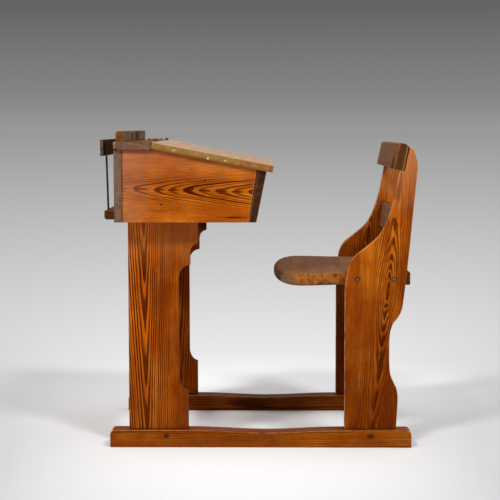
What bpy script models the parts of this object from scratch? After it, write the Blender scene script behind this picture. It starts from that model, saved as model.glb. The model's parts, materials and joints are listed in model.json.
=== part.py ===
"""A child's school desk with an attached seat, in pitch pine.

Metres, +Z up. X runs along the desk from the book rack (-X) to the seat back (+X), and Y across it,
with the pupil's left side at -Y. The origin is on the floor, under the middle of the whole object.
"""
import math

import bmesh
import bpy
from mathutils import Matrix, Vector

# Clearances
GAP = 0.0003
OVERRUN = 0.004
PIN_CLEARANCE = 0.0001

# Overall
DESK_HEIGHT = 0.7715
TOP_WIDTH = 0.610
TOP_OVERHANG = 0.008
BOX_SIDE_OVERHANG = 0.047
BOX_DEPTH = 0.1995

# Sledge feet
FOOT_LENGTH = 0.762
FOOT_HEIGHT = 0.044
FOOT_WIDTH = 0.054
FOOT_DISH = 0.006
FOOT_END_RADIUS = 0.012
FOOT_REAR_TOE = 0.048
FOOT_FRONT_TOE = 0.038
FOOT_EASE = 0.0025

# Standards
STANDARD_THICKNESS = 0.022
STANDARD_EASE = 0.0018
TENON_THICKNESS = 0.010
TENON_DEPTH = 0.030
TENON_SHOULDER = 0.014

# Desk standards, with heights that run up from the floor or down from the box
DESK_BASE_WIDTH = 0.150
DESK_WAIST_WIDTH = 0.127
DESK_MIDDLE_WIDTH = 0.156
DESK_TOP_WIDTH = 0.176
BASE_LAND_HEIGHT = 0.141
LOWER_COVE_RISE = 0.036
MIDDLE_COVE_RISE = 0.036
MIDDLE_LAND = 0.029
TOP_COVE_RISE = 0.025
TOP_LAND = 0.056

# Seat standards, whose outline is in shares of the board's width and height
SEAT_STANDARD_WIDTH = 0.181
SEAT_STANDARD_HEIGHT = 0.713
SEAT_FRONT_SHARES = (
    (0.0, 0.498), (0.027, 0.552), (0.069, 0.592), (0.144, 0.6185), (0.278, 0.645), (0.442, 0.681),
    (0.546, 0.722), (0.634, 0.782), (0.693, 0.842), (0.750, 0.920), (0.806, 0.990), (0.880, 1.0),
)
SEAT_BACK_SHARES = (
    (0.936, 0.991), (0.967, 0.972), (0.992, 0.950), (0.998, 0.925), (0.990, 0.905), (0.948, 0.790),
    (0.893, 0.642), (0.852, 0.540), (0.818, 0.465), (0.793, 0.427), (0.744, 0.401), (0.677, 0.378),
    (0.635, 0.348), (0.624, 0.312),
)
SEAT_WAIST_SHARES = (
    (0.624, 0.245), (0.636, 0.201), (0.683, 0.170), (0.730, 0.143), (0.745, 0.112), (0.738, 0.060),
)
SEAT_BASE_SHARE = 0.724
SEAT_SCREW_SHARES = (0.175, 0.687)

# Rails
HEAD_RAIL_THICKNESS = 0.0345
HEAD_RAIL_HEIGHT = 0.0594
HEAD_RAIL_CROWN = 0.008
HEAD_RAIL_CORNER = 0.018
HEAD_RAIL_LEAN = math.radians(12.3)
HEAD_RAIL_SHARES = (0.629, 0.9257)
LOWER_RAIL_THICKNESS = 0.020
LOWER_RAIL_HEIGHT = 0.065
LOWER_RAIL_LEAN = math.radians(9.0)
LOWER_RAIL_SHARES = (0.660, 0.686)
LOWER_RAIL_ROUND = 0.006
RAIL_HOUSING = 0.008
CROSS_RAIL_THICKNESS = 0.020
CROSS_RAIL_HEIGHT = 0.110
CROSS_RAIL_BASE = 0.190
CROSS_RAIL_SETBACK = 0.030

# Seat
SEAT_TOP = 0.4415
SEAT_THICKNESS = 0.032
SEAT_DEPTH = 0.344
SEAT_REACH = 0.178
SEAT_NOSE_DEPTH = 0.067
SEAT_NOSE_POWER = 2.2
SEAT_EDGE_RADIUS = 0.007
SEAT_CLEAT_HEIGHT = 0.025
SEAT_CLEAT_THICKNESS = 0.020
SEAT_CLEAT_LENGTH = 0.120
SEAT_CLEAT_SETBACK = 0.022

# Desk box
BOX_BASE_SETBACK = 0.0437
BOX_REAR_OVERHANG = 0.0295
BOX_SIDE_THICKNESS = 0.0185
BOX_BACK_THICKNESS = 0.0185
BOX_FRONT_THICKNESS = 0.0175
BOX_BOTTOM_THICKNESS = 0.012
BOX_FRONT_SLANT = math.radians(11.4)
BOX_EASE = 0.001
BOX_CLEAT_SIZE = 0.025
BOX_CLEAT_LENGTH = 0.130
BOX_CLEAT_SETBACK = 0.020

# Pen shelf, its edging and the book stop
SHELF_THICKNESS = 0.020
HINGE_LINE = 0.0963
EDGING_THICKNESS = 0.0075
EDGING_HEIGHT = 0.0175
EDGING_SEAM = 0.001
TOP_EASE = 0.001
STOP_THICKNESS = 0.021
STOP_HEIGHT = 0.0262
STOP_INSET = 0.0065
STOP_ROUND = 0.007
GROOVE_RADIUS = 0.0062
GROOVE_TO_JOINT = 0.0405
GROOVE_TO_INKWELL = 0.034

# Lid
LID_SLOPE = math.radians(11.0)
LID_LENGTH = 0.3055
LID_THICKNESS = 0.0185
LID_FRONT_BOARD = 0.0815
LID_JOINT = 0.001
LID_EASE = 0.0015
BATTEN_WIDTH = 0.045
BATTEN_THICKNESS = 0.015
BATTEN_FRONT_SETBACK = 0.0555
BATTEN_SETBACK = 0.035
BATTEN_INSET = 0.100

# Butt hinges
HINGE_INSET = 0.110
HINGE_LENGTH = 0.050
HINGE_KNUCKLES = 5
HINGE_LEAF_DEPTH = 0.0155
HINGE_LEAF_THICKNESS = 0.0018
HINGE_LEAF_SPACE = 0.0004
HINGE_KNUCKLE_RADIUS = 0.0030
HINGE_PIN_RADIUS = 0.0014
HINGE_HOLE_SHARES = (-0.35, 0.0, 0.35)
HINGE_HOLE_DEPTH = 0.0095
HINGE_HOLE_RIM = 0.0030
HINGE_HOLE = 0.0018

# Inkwell, its plate and its swivelling cover
INKWELL_TO_JOINT = 0.0315
INKWELL_FROM_END = 0.080
INKWELL_FLANGE_RADIUS = 0.0175
INKWELL_FLANGE_THICKNESS = 0.003
INKWELL_BODY_RADIUS = 0.0155
INKWELL_BASE_RADIUS = 0.0130
INKWELL_DEPTH = 0.036
INKWELL_WALL = 0.003
INKWELL_PLATE_RADIUS = 0.0235
INKWELL_PLATE_THICKNESS = 0.0012
INKWELL_PLATE_HOLE = 0.0120
COVER_RADIUS = 0.0160
COVER_THICKNESS = 0.0012
COVER_DOME = 0.0030
COVER_DOME_RADIUS = 0.0120
COVER_EAR_RADIUS = 0.0050
COVER_TAB_WIDTH = 0.009
COVER_TAB_LENGTH = 0.010
COVER_TAB_RISE = 0.0045
PIVOT_RADIUS = 0.0016
PIVOT_WALL = 0.0010
PIVOT_HEAD_RADIUS = 0.0034
PIVOT_HEAD_HEIGHT = 0.0022
PIVOT_DEPTH = 0.009

# Rear book rack
RACK_SLOT = 0.0242
RACK_RAIL_THICKNESS = 0.0076
RACK_RAIL_HEIGHT = 0.040
RACK_RAIL_RISE = 0.005
RACK_LEDGE_DEPTH = 0.0225
RACK_LEDGE_HEIGHT = 0.022
RACK_LEDGE_LIFT = 0.0078
RACK_LEDGE_ROUND = 0.007
RACK_ROD_RADIUS = 0.0025
RACK_ROD_INSET = 0.047
RACK_ROD_SOCKET = 0.012
RACK_ROD_SETBACK = 0.005
RACK_ROD_TOP = 0.007

# Pegs and screws
FOOT_PEG_RADIUS = 0.0042
FOOT_PEG_HEIGHT = 0.0290
FOOT_PEG_SHORT = 0.008
DESK_PEG_SHARE = 0.63
SEAT_PEG_SHARE = 0.50
SEAT_SCREW_HEAD = 0.0042
SEAT_SCREW_SHANK = 0.0024
SEAT_SCREW_HEAD_DEPTH = 0.004
SEAT_SCREW_LENGTH = 0.055
BACK_SCREW_HEAD = 0.0030
BACK_SCREW_SHANK = 0.0016
BACK_SCREW_HEAD_DEPTH = 0.0020
BACK_SCREW_LENGTH = 0.036

# Counts of facets
ROUND_SIDES = 24
KNUCKLE_SIDES = 16
SCREW_SIDES = 12
COVE_STEPS = 7
CURVE_STEPS = 4
DISH_STEPS = 14
NOSE_STEPS = 9
SIDE_STEPS = 6

# Finishes: colour, roughness, metallic
FINISHES = {
    "pitch_pine": ((0.402, 0.120, 0.030), 0.38, 0.0),
    "worn_pine": ((0.240, 0.130, 0.075), 0.45, 0.0),
    "lid_pine": ((0.330, 0.160, 0.070), 0.34, 0.0),
    "dark_wood": ((0.040, 0.022, 0.014), 0.50, 0.0),
    "iron": ((0.060, 0.055, 0.050), 0.45, 0.9),
    "brass": ((0.300, 0.210, 0.090), 0.40, 0.9),
    "ceramic": ((0.780, 0.760, 0.700), 0.15, 0.0),
}

# Places that follow from the sizes
BOX_WIDTH = TOP_WIDTH - 2 * TOP_OVERHANG
BOX_UNDERSIDE = DESK_HEIGHT - BOX_DEPTH
STANDARDS_WIDTH = BOX_WIDTH - 2 * BOX_SIDE_OVERHANG
REARMOST = FOOT_REAR_TOE - BOX_REAR_OVERHANG - RACK_SLOT - RACK_RAIL_THICKNESS
SEAT_STANDARD_FRONT = FOOT_LENGTH - FOOT_FRONT_TOE - SEAT_BASE_SHARE * SEAT_STANDARD_WIDTH
FOREMOST = SEAT_STANDARD_FRONT + SEAT_STANDARD_WIDTH * max(across for across, _ in SEAT_BACK_SHARES)
FOOT_REAR = -(REARMOST + FOREMOST) / 2
DESK_STANDARD_X = FOOT_REAR + FOOT_REAR_TOE
SEAT_STANDARD_X = FOOT_REAR + SEAT_STANDARD_FRONT
STANDARD_Y = (STANDARDS_WIDTH - STANDARD_THICKNESS) / 2
INNER_FACE_Y = STANDARDS_WIDTH / 2 - STANDARD_THICKNESS
BOX_REAR = DESK_STANDARD_X - BOX_REAR_OVERHANG
JOINT_X = BOX_REAR + HINGE_LINE
BOX_FRONT = JOINT_X + LID_LENGTH * math.cos(LID_SLOPE) - BOX_BASE_SETBACK
SHELF_UNDERSIDE = DESK_HEIGHT - SHELF_THICKNESS
HINGE_LIFT = HINGE_KNUCKLE_RADIUS + GAP
HINGE_AXIS = (JOINT_X + HINGE_LIFT * math.sin(LID_SLOPE), 0.0,
              DESK_HEIGHT + HINGE_LIFT * math.cos(LID_SLOPE))
INKWELL_X = JOINT_X - INKWELL_TO_JOINT
INKWELL_Y = TOP_WIDTH / 2 - INKWELL_FROM_END
COVER_REACH = INKWELL_FLANGE_RADIUS + PIVOT_WALL + PIVOT_RADIUS + 2 * GAP
SIDES = (("left", -1), ("right", 1))


# Plain geometry

def arc(centre, radii, start, end, steps):
    """Points on an ellipse's arc, from one angle in degrees to another."""
    angles = [math.radians(start + (end - start) * i / steps) for i in range(steps + 1)]
    return [(centre[0] + radii[0] * math.cos(a), centre[1] + radii[1] * math.sin(a)) for a in angles]


def smooth_through(points, steps):
    """Points on a Catmull-Rom curve that passes through the given ones."""
    ends = [points[0]] + list(points) + [points[-1]]
    curve = [points[0]]
    for p0, p1, p2, p3 in zip(ends, ends[1:], ends[2:], ends[3:]):
        for i in range(1, steps + 1):
            t = i / steps
            curve.append(tuple(
                (2 * b + (c - a) * t + (2 * a - 5 * b + 4 * c - d) * t ** 2
                 + (3 * b - a - 3 * c + d) * t ** 3) / 2
                for a, b, c, d in zip(p0, p1, p2, p3)))
    return curve


def rectangle(low_u, low_v, high_u, high_v):
    """The four corners of an upright rectangle."""
    return [(low_u, low_v), (high_u, low_v), (high_u, high_v), (low_u, high_v)]


def aimed(place, direction):
    """The matrix that puts a turned piece's start at a place and points it along a direction."""
    turn = Vector(direction).to_track_quat("Z", "Y").to_matrix().to_4x4()
    return Matrix.Translation(Vector(place)) @ turn


# Objects

def clear_scene():
    """Remove what the scene holds."""
    for thing in list(bpy.data.objects):
        bpy.data.objects.remove(thing, do_unlink=True)


def finish_material(name, finish):
    """A piece's own material in one of the named finishes."""
    colour, roughness, metallic = FINISHES[finish]
    material = bpy.data.materials.new(name + "_" + finish)
    material.use_nodes = True
    shader = material.node_tree.nodes["Principled BSDF"]
    shader.inputs["Base Color"].default_value = (*colour, 1.0)
    shader.inputs["Roughness"].default_value = roughness
    shader.inputs["Metallic"].default_value = metallic
    material.diffuse_color = (*colour, 1.0)
    return material


def piece(name, shape, finish):
    """A named object from a closed bmesh, with its faces turned outwards."""
    bmesh.ops.recalc_face_normals(shape, faces=shape.faces)
    mesh = bpy.data.meshes.new(name)
    shape.to_mesh(mesh)
    shape.free()
    thing = bpy.data.objects.new(name, mesh)
    bpy.context.scene.collection.objects.link(thing)
    if finish:
        mesh.materials.append(finish_material(name, finish))
    return thing


def extrude_outline(shape, outline, low, high, along):
    """Add an outline pushed along an axis to a bmesh."""
    order = {"x": (2, 0, 1), "y": (0, 2, 1), "z": (0, 1, 2)}[along]

    def place(u, v, w):
        values = (u, v, w)
        return Vector(values[i] for i in order)

    ring = [shape.verts.new(place(u, v, low)) for u, v in outline]
    pushed = bmesh.ops.extrude_face_region(shape, geom=[shape.faces.new(ring)])["geom"]
    moved = [item for item in pushed if isinstance(item, bmesh.types.BMVert)]
    bmesh.ops.translate(shape, verts=moved, vec=place(0, 0, high - low))


def prism(name, outline, low, high, along, finish=None):
    """An outline pushed from low to high along the x, y or z axis."""
    shape = bmesh.new()
    extrude_outline(shape, outline, low, high, along)
    return piece(name, shape, finish)


def prisms(name, parts, finish=None):
    """Several separate outlines, each pushed along its own axis, in one object."""
    shape = bmesh.new()
    for outline, low, high, along in parts:
        extrude_outline(shape, outline, low, high, along)
    return piece(name, shape, finish)


def turned(name, profile, places, sides, finish=None):
    """Round solids, one at each place, from (height, radius) pairs along the local z axis."""
    shape = bmesh.new()
    for place in places:
        rings = []
        for height, radius in profile:
            angles = [2 * math.pi * i / sides for i in range(sides)]
            points = [Vector((radius * math.cos(a), radius * math.sin(a), height)) for a in angles]
            rings.append([shape.verts.new(place @ point) for point in points])
        for lower, upper in zip(rings, rings[1:]):
            for i in range(sides):
                shape.faces.new((lower[i - 1], lower[i], upper[i], upper[i - 1]))
        shape.faces.new(rings[0])
        shape.faces.new(rings[-1])
    thing = piece(name, shape, finish)
    soften(thing)
    return thing


def bake(thing):
    """Keep what a piece's modifiers make of it, and drop the modifiers."""
    bpy.context.view_layer.update()
    graph = bpy.context.evaluated_depsgraph_get()
    mesh = bpy.data.meshes.new_from_object(thing.evaluated_get(graph))
    thing.modifiers.clear()
    thing.data = mesh


def eased(thing, width, segments=2):
    """Take the sharpness off a piece's arrises."""
    bevel = thing.modifiers.new("ease", "BEVEL")
    bevel.width = width
    bevel.segments = segments
    bevel.limit_method = "ANGLE"
    bevel.angle_limit = math.radians(35)
    bake(thing)
    return thing


def combine(target, tool, operation):
    """Cut, join or keep the overlap with a tool, which stays for other pieces."""
    boolean = target.modifiers.new(operation, "BOOLEAN")
    boolean.operation = operation
    boolean.solver = "EXACT"
    boolean.object = tool
    bake(target)


def cut(tool, *targets):
    """Cut one tool out of the pieces, then throw the tool away."""
    for target in targets:
        combine(target, tool, "DIFFERENCE")
    bpy.data.objects.remove(tool)


def join(target, tool):
    """Make one solid of a piece and a tool."""
    combine(target, tool, "UNION")
    bpy.data.objects.remove(tool)


def soften(thing):
    """Shade the round faces of a piece smoothly."""
    thing.data.shade_smooth()
    thing.data.set_sharp_from_angle(angle=math.radians(35))


def placed(thing, x=0.0, y=0.0, z=0.0):
    """Put a piece's own origin at a place."""
    thing.location = (x, y, z)
    return thing


# Pegs and screws

def screw_profile(head, head_depth, shank, length):
    """A countersunk screw, from its flush head to its point."""
    return [(0.0, head), (head_depth, shank), (length - shank, shank), (length, shank / 2)]


def screw_hole_profile(head, head_depth, shank, length):
    """The hole that the same screw needs."""
    return [(-OVERRUN, head + GAP), (0.0, head + GAP), (head_depth, shank + GAP),
            (length + GAP, shank + GAP)]


def each(names, profile, places, finish):
    """One turned piece, with its own name, at each place."""
    for name, place in zip(names, places):
        turned(name, profile, [place], SCREW_SIDES, finish)


# Feet and standards

def foot(side, sign):
    """A sledge foot: round top corners, and a long shallow dish between the standards."""
    half = FOOT_WIDTH / 2
    dish_start = FOOT_REAR_TOE + DESK_BASE_WIDTH + TENON_SHOULDER / 2
    dish_end = SEAT_STANDARD_FRONT - TENON_SHOULDER / 2
    steps = [i / DISH_STEPS for i in range(DISH_STEPS + 1)]
    dish = [(dish_end + (dish_start - dish_end) * t, FOOT_HEIGHT - FOOT_DISH * math.sin(math.pi * t) ** 2)
            for t in steps]
    radius = FOOT_END_RADIUS
    radii = (radius, radius)
    outline = [(0.0, 0.0), (FOOT_LENGTH, 0.0)]
    outline += arc((FOOT_LENGTH - radius, FOOT_HEIGHT - radius), radii, 0, 90, COVE_STEPS)
    outline += dish
    outline += arc((radius, FOOT_HEIGHT - radius), radii, 90, 180, COVE_STEPS)
    thing = prism(side + "_foot", outline, -half, half, "y", "pitch_pine")
    eased(thing, FOOT_EASE)
    return placed(thing, FOOT_REAR, sign * STANDARD_Y)


def tenoned(thing, low, high):
    """Give a standard the tenon that goes down into the foot."""
    half = TENON_THICKNESS / 2
    outline = rectangle(low + TENON_SHOULDER, FOOT_HEIGHT - TENON_DEPTH, high - TENON_SHOULDER,
                        FOOT_HEIGHT + TENON_DEPTH)
    tenon = prism("tenon", outline, -half, half, "y")
    join(thing, tenon)


def mortise(foot_piece, x, y, low, high):
    """The slot in a foot that a tenon fits."""
    half = TENON_THICKNESS / 2 + GAP
    outline = rectangle(low + TENON_SHOULDER - GAP, FOOT_HEIGHT - TENON_DEPTH - GAP,
                        high - TENON_SHOULDER + GAP, FOOT_HEIGHT + OVERRUN)
    cut(placed(prism("mortise", outline, -half, half, "y"), x, y), foot_piece)


def desk_standard(side, sign):
    """A desk standard: straight at the rear, stepped with three coves on the pupil's side."""
    top = BOX_UNDERSIDE - GAP
    top_land = top - TOP_LAND
    middle_top = top_land - TOP_COVE_RISE
    middle_low = middle_top - MIDDLE_LAND
    waist_top = middle_low - MIDDLE_COVE_RISE
    waist_low = BASE_LAND_HEIGHT + LOWER_COVE_RISE
    lower = (DESK_BASE_WIDTH - DESK_WAIST_WIDTH, LOWER_COVE_RISE)
    middle = (DESK_MIDDLE_WIDTH - DESK_WAIST_WIDTH, MIDDLE_COVE_RISE)
    upper = (DESK_TOP_WIDTH - DESK_MIDDLE_WIDTH, TOP_COVE_RISE)
    outline = [(0.0, FOOT_HEIGHT + GAP), (DESK_BASE_WIDTH, FOOT_HEIGHT + GAP)]
    outline += arc((DESK_BASE_WIDTH, waist_low), lower, 270, 180, COVE_STEPS)
    outline += arc((DESK_MIDDLE_WIDTH, waist_top), middle, 180, 90, COVE_STEPS)
    outline += arc((DESK_TOP_WIDTH, middle_top), upper, 180, 90, COVE_STEPS)
    outline += [(DESK_TOP_WIDTH, top), (0.0, top)]
    half = STANDARD_THICKNESS / 2
    thing = prism(side + "_desk_standard", outline, -half, half, "y", "pitch_pine")
    eased(thing, STANDARD_EASE)
    tenoned(thing, 0.0, DESK_BASE_WIDTH)
    return placed(thing, DESK_STANDARD_X, sign * STANDARD_Y)


def seat_outline():
    """The seat standard's sawn outline, from the foot up the front and down the back."""
    front = smooth_through(SEAT_FRONT_SHARES + SEAT_BACK_SHARES, CURVE_STEPS)
    waist = smooth_through(SEAT_WAIST_SHARES, CURVE_STEPS)
    shares = [(0.0, 0.0)] + front + waist + [(SEAT_BASE_SHARE, 0.0)]
    base = FOOT_HEIGHT + GAP
    return [(across * SEAT_STANDARD_WIDTH, base + up * SEAT_STANDARD_HEIGHT) for across, up in shares]


def seat_standard(side, sign):
    """A seat standard, with the tenon that goes down into the foot."""
    half = STANDARD_THICKNESS / 2
    thing = prism(side + "_seat_standard", seat_outline(), -half, half, "y", "pitch_pine")
    eased(thing, STANDARD_EASE)
    tenoned(thing, 0.0, SEAT_BASE_SHARE * SEAT_STANDARD_WIDTH)
    return placed(thing, SEAT_STANDARD_X, sign * STANDARD_Y)


def foot_pegs(feet, standards):
    """Round pegs driven into each foot and through its two tenons."""
    outer = STANDARD_Y + FOOT_WIDTH / 2
    desk_peg = DESK_STANDARD_X + DESK_PEG_SHARE * DESK_BASE_WIDTH
    seat_peg = SEAT_STANDARD_X + SEAT_PEG_SHARE * SEAT_BASE_SHARE * SEAT_STANDARD_WIDTH
    names = []
    places = []
    for side, sign in SIDES:
        for end, along in (("desk", desk_peg), ("seat", seat_peg)):
            names.append(side + "_" + end + "_foot_peg")
            places.append(aimed((along, sign * outer, FOOT_PEG_HEIGHT), (0, -sign, 0)))
    length = FOOT_WIDTH - FOOT_PEG_SHORT
    hole = [(-OVERRUN, FOOT_PEG_RADIUS + GAP), (length + GAP, FOOT_PEG_RADIUS + GAP)]
    cut(turned("hole", hole, places, SCREW_SIDES), *feet, *standards)
    each(names, [(0.0, FOOT_PEG_RADIUS), (length, FOOT_PEG_RADIUS)], places, "dark_wood")


# Rails

def cross_rail(standards):
    """The rail housed between the desk standards."""
    low = CROSS_RAIL_SETBACK
    high = low + CROSS_RAIL_THICKNESS
    top = CROSS_RAIL_BASE + CROSS_RAIL_HEIGHT
    reach = INNER_FACE_Y + RAIL_HOUSING
    housing = prism("housing", rectangle(low - GAP, CROSS_RAIL_BASE - GAP, high + GAP, top + GAP),
                    -reach, reach, "y")
    cut(placed(housing, DESK_STANDARD_X), *standards)
    rail = prism("desk_cross_rail", rectangle(low, CROSS_RAIL_BASE, high, top), GAP - reach,
                 reach - GAP, "y", "pitch_pine")
    return placed(eased(rail, STANDARD_EASE), DESK_STANDARD_X)


def leaning(thing, shares, lean):
    """Put a back rail at its share of the seat standard, leaning back."""
    thing.location = (SEAT_STANDARD_X + shares[0] * SEAT_STANDARD_WIDTH, 0.0,
                      FOOT_HEIGHT + shares[1] * SEAT_STANDARD_HEIGHT)
    thing.rotation_euler = (0.0, lean, 0.0)
    return thing


def crowned_section(thickness, height, crown):
    """A rail's section, with an arc across its top."""
    radius = (thickness ** 2 / 4 + crown ** 2) / (2 * crown)
    half_angle = math.degrees(math.asin(thickness / (2 * radius)))
    centre = (thickness / 2, height + crown - radius)
    top = arc(centre, (radius, radius), 90 - half_angle, 90 + half_angle, COVE_STEPS)
    return [(0.0, 0.0), (thickness, 0.0)] + top


def top_back_rail(standards):
    """The thick top rail, let into notches in the standards' front edges."""
    reach = STANDARDS_WIDTH / 2
    depth = HEAD_RAIL_THICKNESS
    notch = rectangle(-depth, -GAP, depth + GAP, 2 * HEAD_RAIL_HEIGHT)
    tool = prism("notch", notch, -reach - OVERRUN, reach + OVERRUN, "y")
    cut(leaning(tool, HEAD_RAIL_SHARES, HEAD_RAIL_LEAN), *standards)
    section = crowned_section(depth, HEAD_RAIL_HEIGHT, HEAD_RAIL_CROWN)
    rail = prism("top_back_rail", section, -reach, reach, "y", "worn_pine")
    corner = (HEAD_RAIL_CORNER, HEAD_RAIL_CORNER)
    plan = arc((corner[0], reach - corner[1]), corner, 90, 180, COVE_STEPS)
    plan += arc((corner[0], corner[1] - reach), corner, 180, 270, COVE_STEPS)
    plan += [(2 * depth, -reach), (2 * depth, reach)]
    keep = prism("keep", plan, -OVERRUN, 2 * HEAD_RAIL_HEIGHT, "z")
    combine(rail, keep, "INTERSECT")
    bpy.data.objects.remove(keep)
    soften(rail)
    return leaning(rail, HEAD_RAIL_SHARES, HEAD_RAIL_LEAN)


def lower_back_rail(standards):
    """The thin lower rail, housed between the standards, with a rounded top."""
    reach = INNER_FACE_Y + RAIL_HOUSING
    thickness = LOWER_RAIL_THICKNESS
    section = crowned_section(thickness, LOWER_RAIL_HEIGHT - LOWER_RAIL_ROUND, LOWER_RAIL_ROUND)
    housing = prism("housing", rectangle(-GAP, -GAP, thickness + GAP, LOWER_RAIL_HEIGHT + GAP),
                    -reach, reach, "y")
    cut(leaning(housing, LOWER_RAIL_SHARES, LOWER_RAIL_LEAN), *standards)
    rail = prism("lower_back_rail", section, GAP - reach, reach - GAP, "y", "worn_pine")
    soften(rail)
    return leaning(rail, LOWER_RAIL_SHARES, LOWER_RAIL_LEAN)


def back_rail_screws(rail, standards):
    """A sunk screw from the rear edge of each standard into the top rail."""
    height = HEAD_RAIL_HEIGHT / 2
    lean = Matrix.Rotation(HEAD_RAIL_LEAN, 4, "Y")
    base = Matrix.Translation((SEAT_STANDARD_X + HEAD_RAIL_SHARES[0] * SEAT_STANDARD_WIDTH, 0.0,
                               FOOT_HEIGHT + HEAD_RAIL_SHARES[1] * SEAT_STANDARD_HEIGHT))
    start = HEAD_RAIL_THICKNESS + BACK_SCREW_LENGTH / 3
    places = [base @ lean @ aimed((start, sign * STANDARD_Y, height), (-1, 0, 0)) for _, sign in SIDES]
    sizes = (BACK_SCREW_HEAD, BACK_SCREW_HEAD_DEPTH, BACK_SCREW_SHANK, BACK_SCREW_LENGTH)
    deep = [(-BACK_SCREW_LENGTH, BACK_SCREW_HEAD + GAP)] + screw_hole_profile(*sizes)[1:]
    cut(turned("hole", deep, places, SCREW_SIDES), rail, *standards)
    names = [side + "_back_rail_screw" for side, _ in SIDES]
    each(names, screw_profile(*sizes), places, "iron")


# Seat

def seat_board():
    """The seat: a rounded nose, sides that draw in to pass between the standards."""
    nose_half = STANDARDS_WIDTH / 2
    rear_half = INNER_FACE_Y - GAP
    power = SEAT_NOSE_POWER
    side = []
    for i in range(NOSE_STEPS + 1):
        angle = math.pi / 2 * i / NOSE_STEPS
        side.append((SEAT_NOSE_DEPTH * (1 - math.cos(angle) ** (2 / power)),
                     nose_half * math.sin(angle) ** (2 / power)))
    run = SEAT_REACH - SEAT_NOSE_DEPTH - OVERRUN
    for i in range(1, SIDE_STEPS + 1):
        t = i / SIDE_STEPS
        blend = (1 - math.cos(math.pi * t)) / 2
        side.append((SEAT_NOSE_DEPTH + run * t, nose_half + (rear_half - nose_half) * blend))
    side.append((SEAT_DEPTH, rear_half))
    outline = [(x, -y) for x, y in reversed(side[1:])] + side
    thing = prism("seat_board", outline, SEAT_TOP - SEAT_THICKNESS, SEAT_TOP, "z", "worn_pine")
    eased(thing, SEAT_EDGE_RADIUS, 3)
    soften(thing)
    return placed(thing, SEAT_STANDARD_X - SEAT_REACH)


def seat_cleat(side, sign):
    """The batten that carries the seat on the inside of a standard."""
    top = SEAT_TOP - SEAT_THICKNESS - GAP
    inner = INNER_FACE_Y - GAP
    ends = sorted((sign * inner, sign * (inner - SEAT_CLEAT_THICKNESS)))
    outline = rectangle(0.0, top - SEAT_CLEAT_HEIGHT, SEAT_CLEAT_LENGTH, top)
    thing = prism(side + "_seat_cleat", outline, ends[0], ends[1], "y", "pitch_pine")
    return placed(eased(thing, STANDARD_EASE), SEAT_STANDARD_X + SEAT_CLEAT_SETBACK)


def seat_screws(seat, standards):
    """The screws through the standards into the edges of the seat."""
    height = SEAT_TOP - SEAT_THICKNESS / 2
    names = []
    places = []
    for side, sign in SIDES:
        for end, share in zip(("front", "rear"), SEAT_SCREW_SHARES):
            along = SEAT_STANDARD_X + share * SEAT_STANDARD_WIDTH
            names.append(side + "_" + end + "_seat_screw")
            places.append(aimed((along, sign * STANDARDS_WIDTH / 2, height), (0, -sign, 0)))
    sizes = (SEAT_SCREW_HEAD, SEAT_SCREW_HEAD_DEPTH, SEAT_SCREW_SHANK, SEAT_SCREW_LENGTH)
    cut(turned("hole", screw_hole_profile(*sizes), places, SCREW_SIDES), seat, *standards)
    each(names, screw_profile(*sizes), places, "iron")


# Desk box

def under_lid(x):
    """The height of the lid's underside at a place along the desk."""
    drop = LID_THICKNESS / math.cos(LID_SLOPE)
    return DESK_HEIGHT - (x - JOINT_X) * math.tan(LID_SLOPE) - drop


def front_face(height, depth):
    """Where the slanted front board is at a height, that far in from its outer face."""
    rise = height - BOX_UNDERSIDE
    return BOX_FRONT + rise * math.tan(BOX_FRONT_SLANT) - depth / math.cos(BOX_FRONT_SLANT)


def meet_lid(depth):
    """The point where a line that far inside the front board's face meets the lid's rest height."""
    slant = math.tan(BOX_FRONT_SLANT)
    slope = math.tan(LID_SLOPE)
    start = front_face(BOX_UNDERSIDE, depth)
    rise = (under_lid(start) - GAP - BOX_UNDERSIDE) / (1 + slant * slope)
    return start + slant * rise, BOX_UNDERSIDE + rise


def box_side(side, sign):
    """A side of the box, cut to the shelf, the lid's slope and the slanted front."""
    rear = BOX_REAR + BOX_BACK_THICKNESS + GAP
    depth = BOX_FRONT_THICKNESS + GAP
    shelf_top = SHELF_UNDERSIDE - GAP
    knee = JOINT_X + (under_lid(JOINT_X) - GAP - shelf_top) / math.tan(LID_SLOPE)
    outline = [(rear, BOX_UNDERSIDE), (front_face(BOX_UNDERSIDE, depth), BOX_UNDERSIDE),
               meet_lid(depth), (knee, shelf_top), (rear, shelf_top)]
    outer = BOX_WIDTH / 2
    ends = sorted((sign * outer, sign * (outer - BOX_SIDE_THICKNESS)))
    return eased(prism("box_" + side + "_side", outline, ends[0], ends[1], "y", "pitch_pine"), BOX_EASE)


def box_front():
    """The front board, planted on the ends of the sides and leaning out towards the pupil."""
    outline = [(front_face(BOX_UNDERSIDE, BOX_FRONT_THICKNESS), BOX_UNDERSIDE),
               (front_face(BOX_UNDERSIDE, 0.0), BOX_UNDERSIDE), meet_lid(0.0),
               meet_lid(BOX_FRONT_THICKNESS)]
    half = BOX_WIDTH / 2
    return eased(prism("box_front", outline, -half, half, "y", "pitch_pine"), BOX_EASE)


def box_back():
    """The back board, planted on the rear ends of the sides."""
    outline = rectangle(BOX_REAR, BOX_UNDERSIDE, BOX_REAR + BOX_BACK_THICKNESS, SHELF_UNDERSIDE - GAP)
    half = BOX_WIDTH / 2
    return eased(prism("box_back", outline, -half, half, "y", "pitch_pine"), BOX_EASE)


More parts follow.
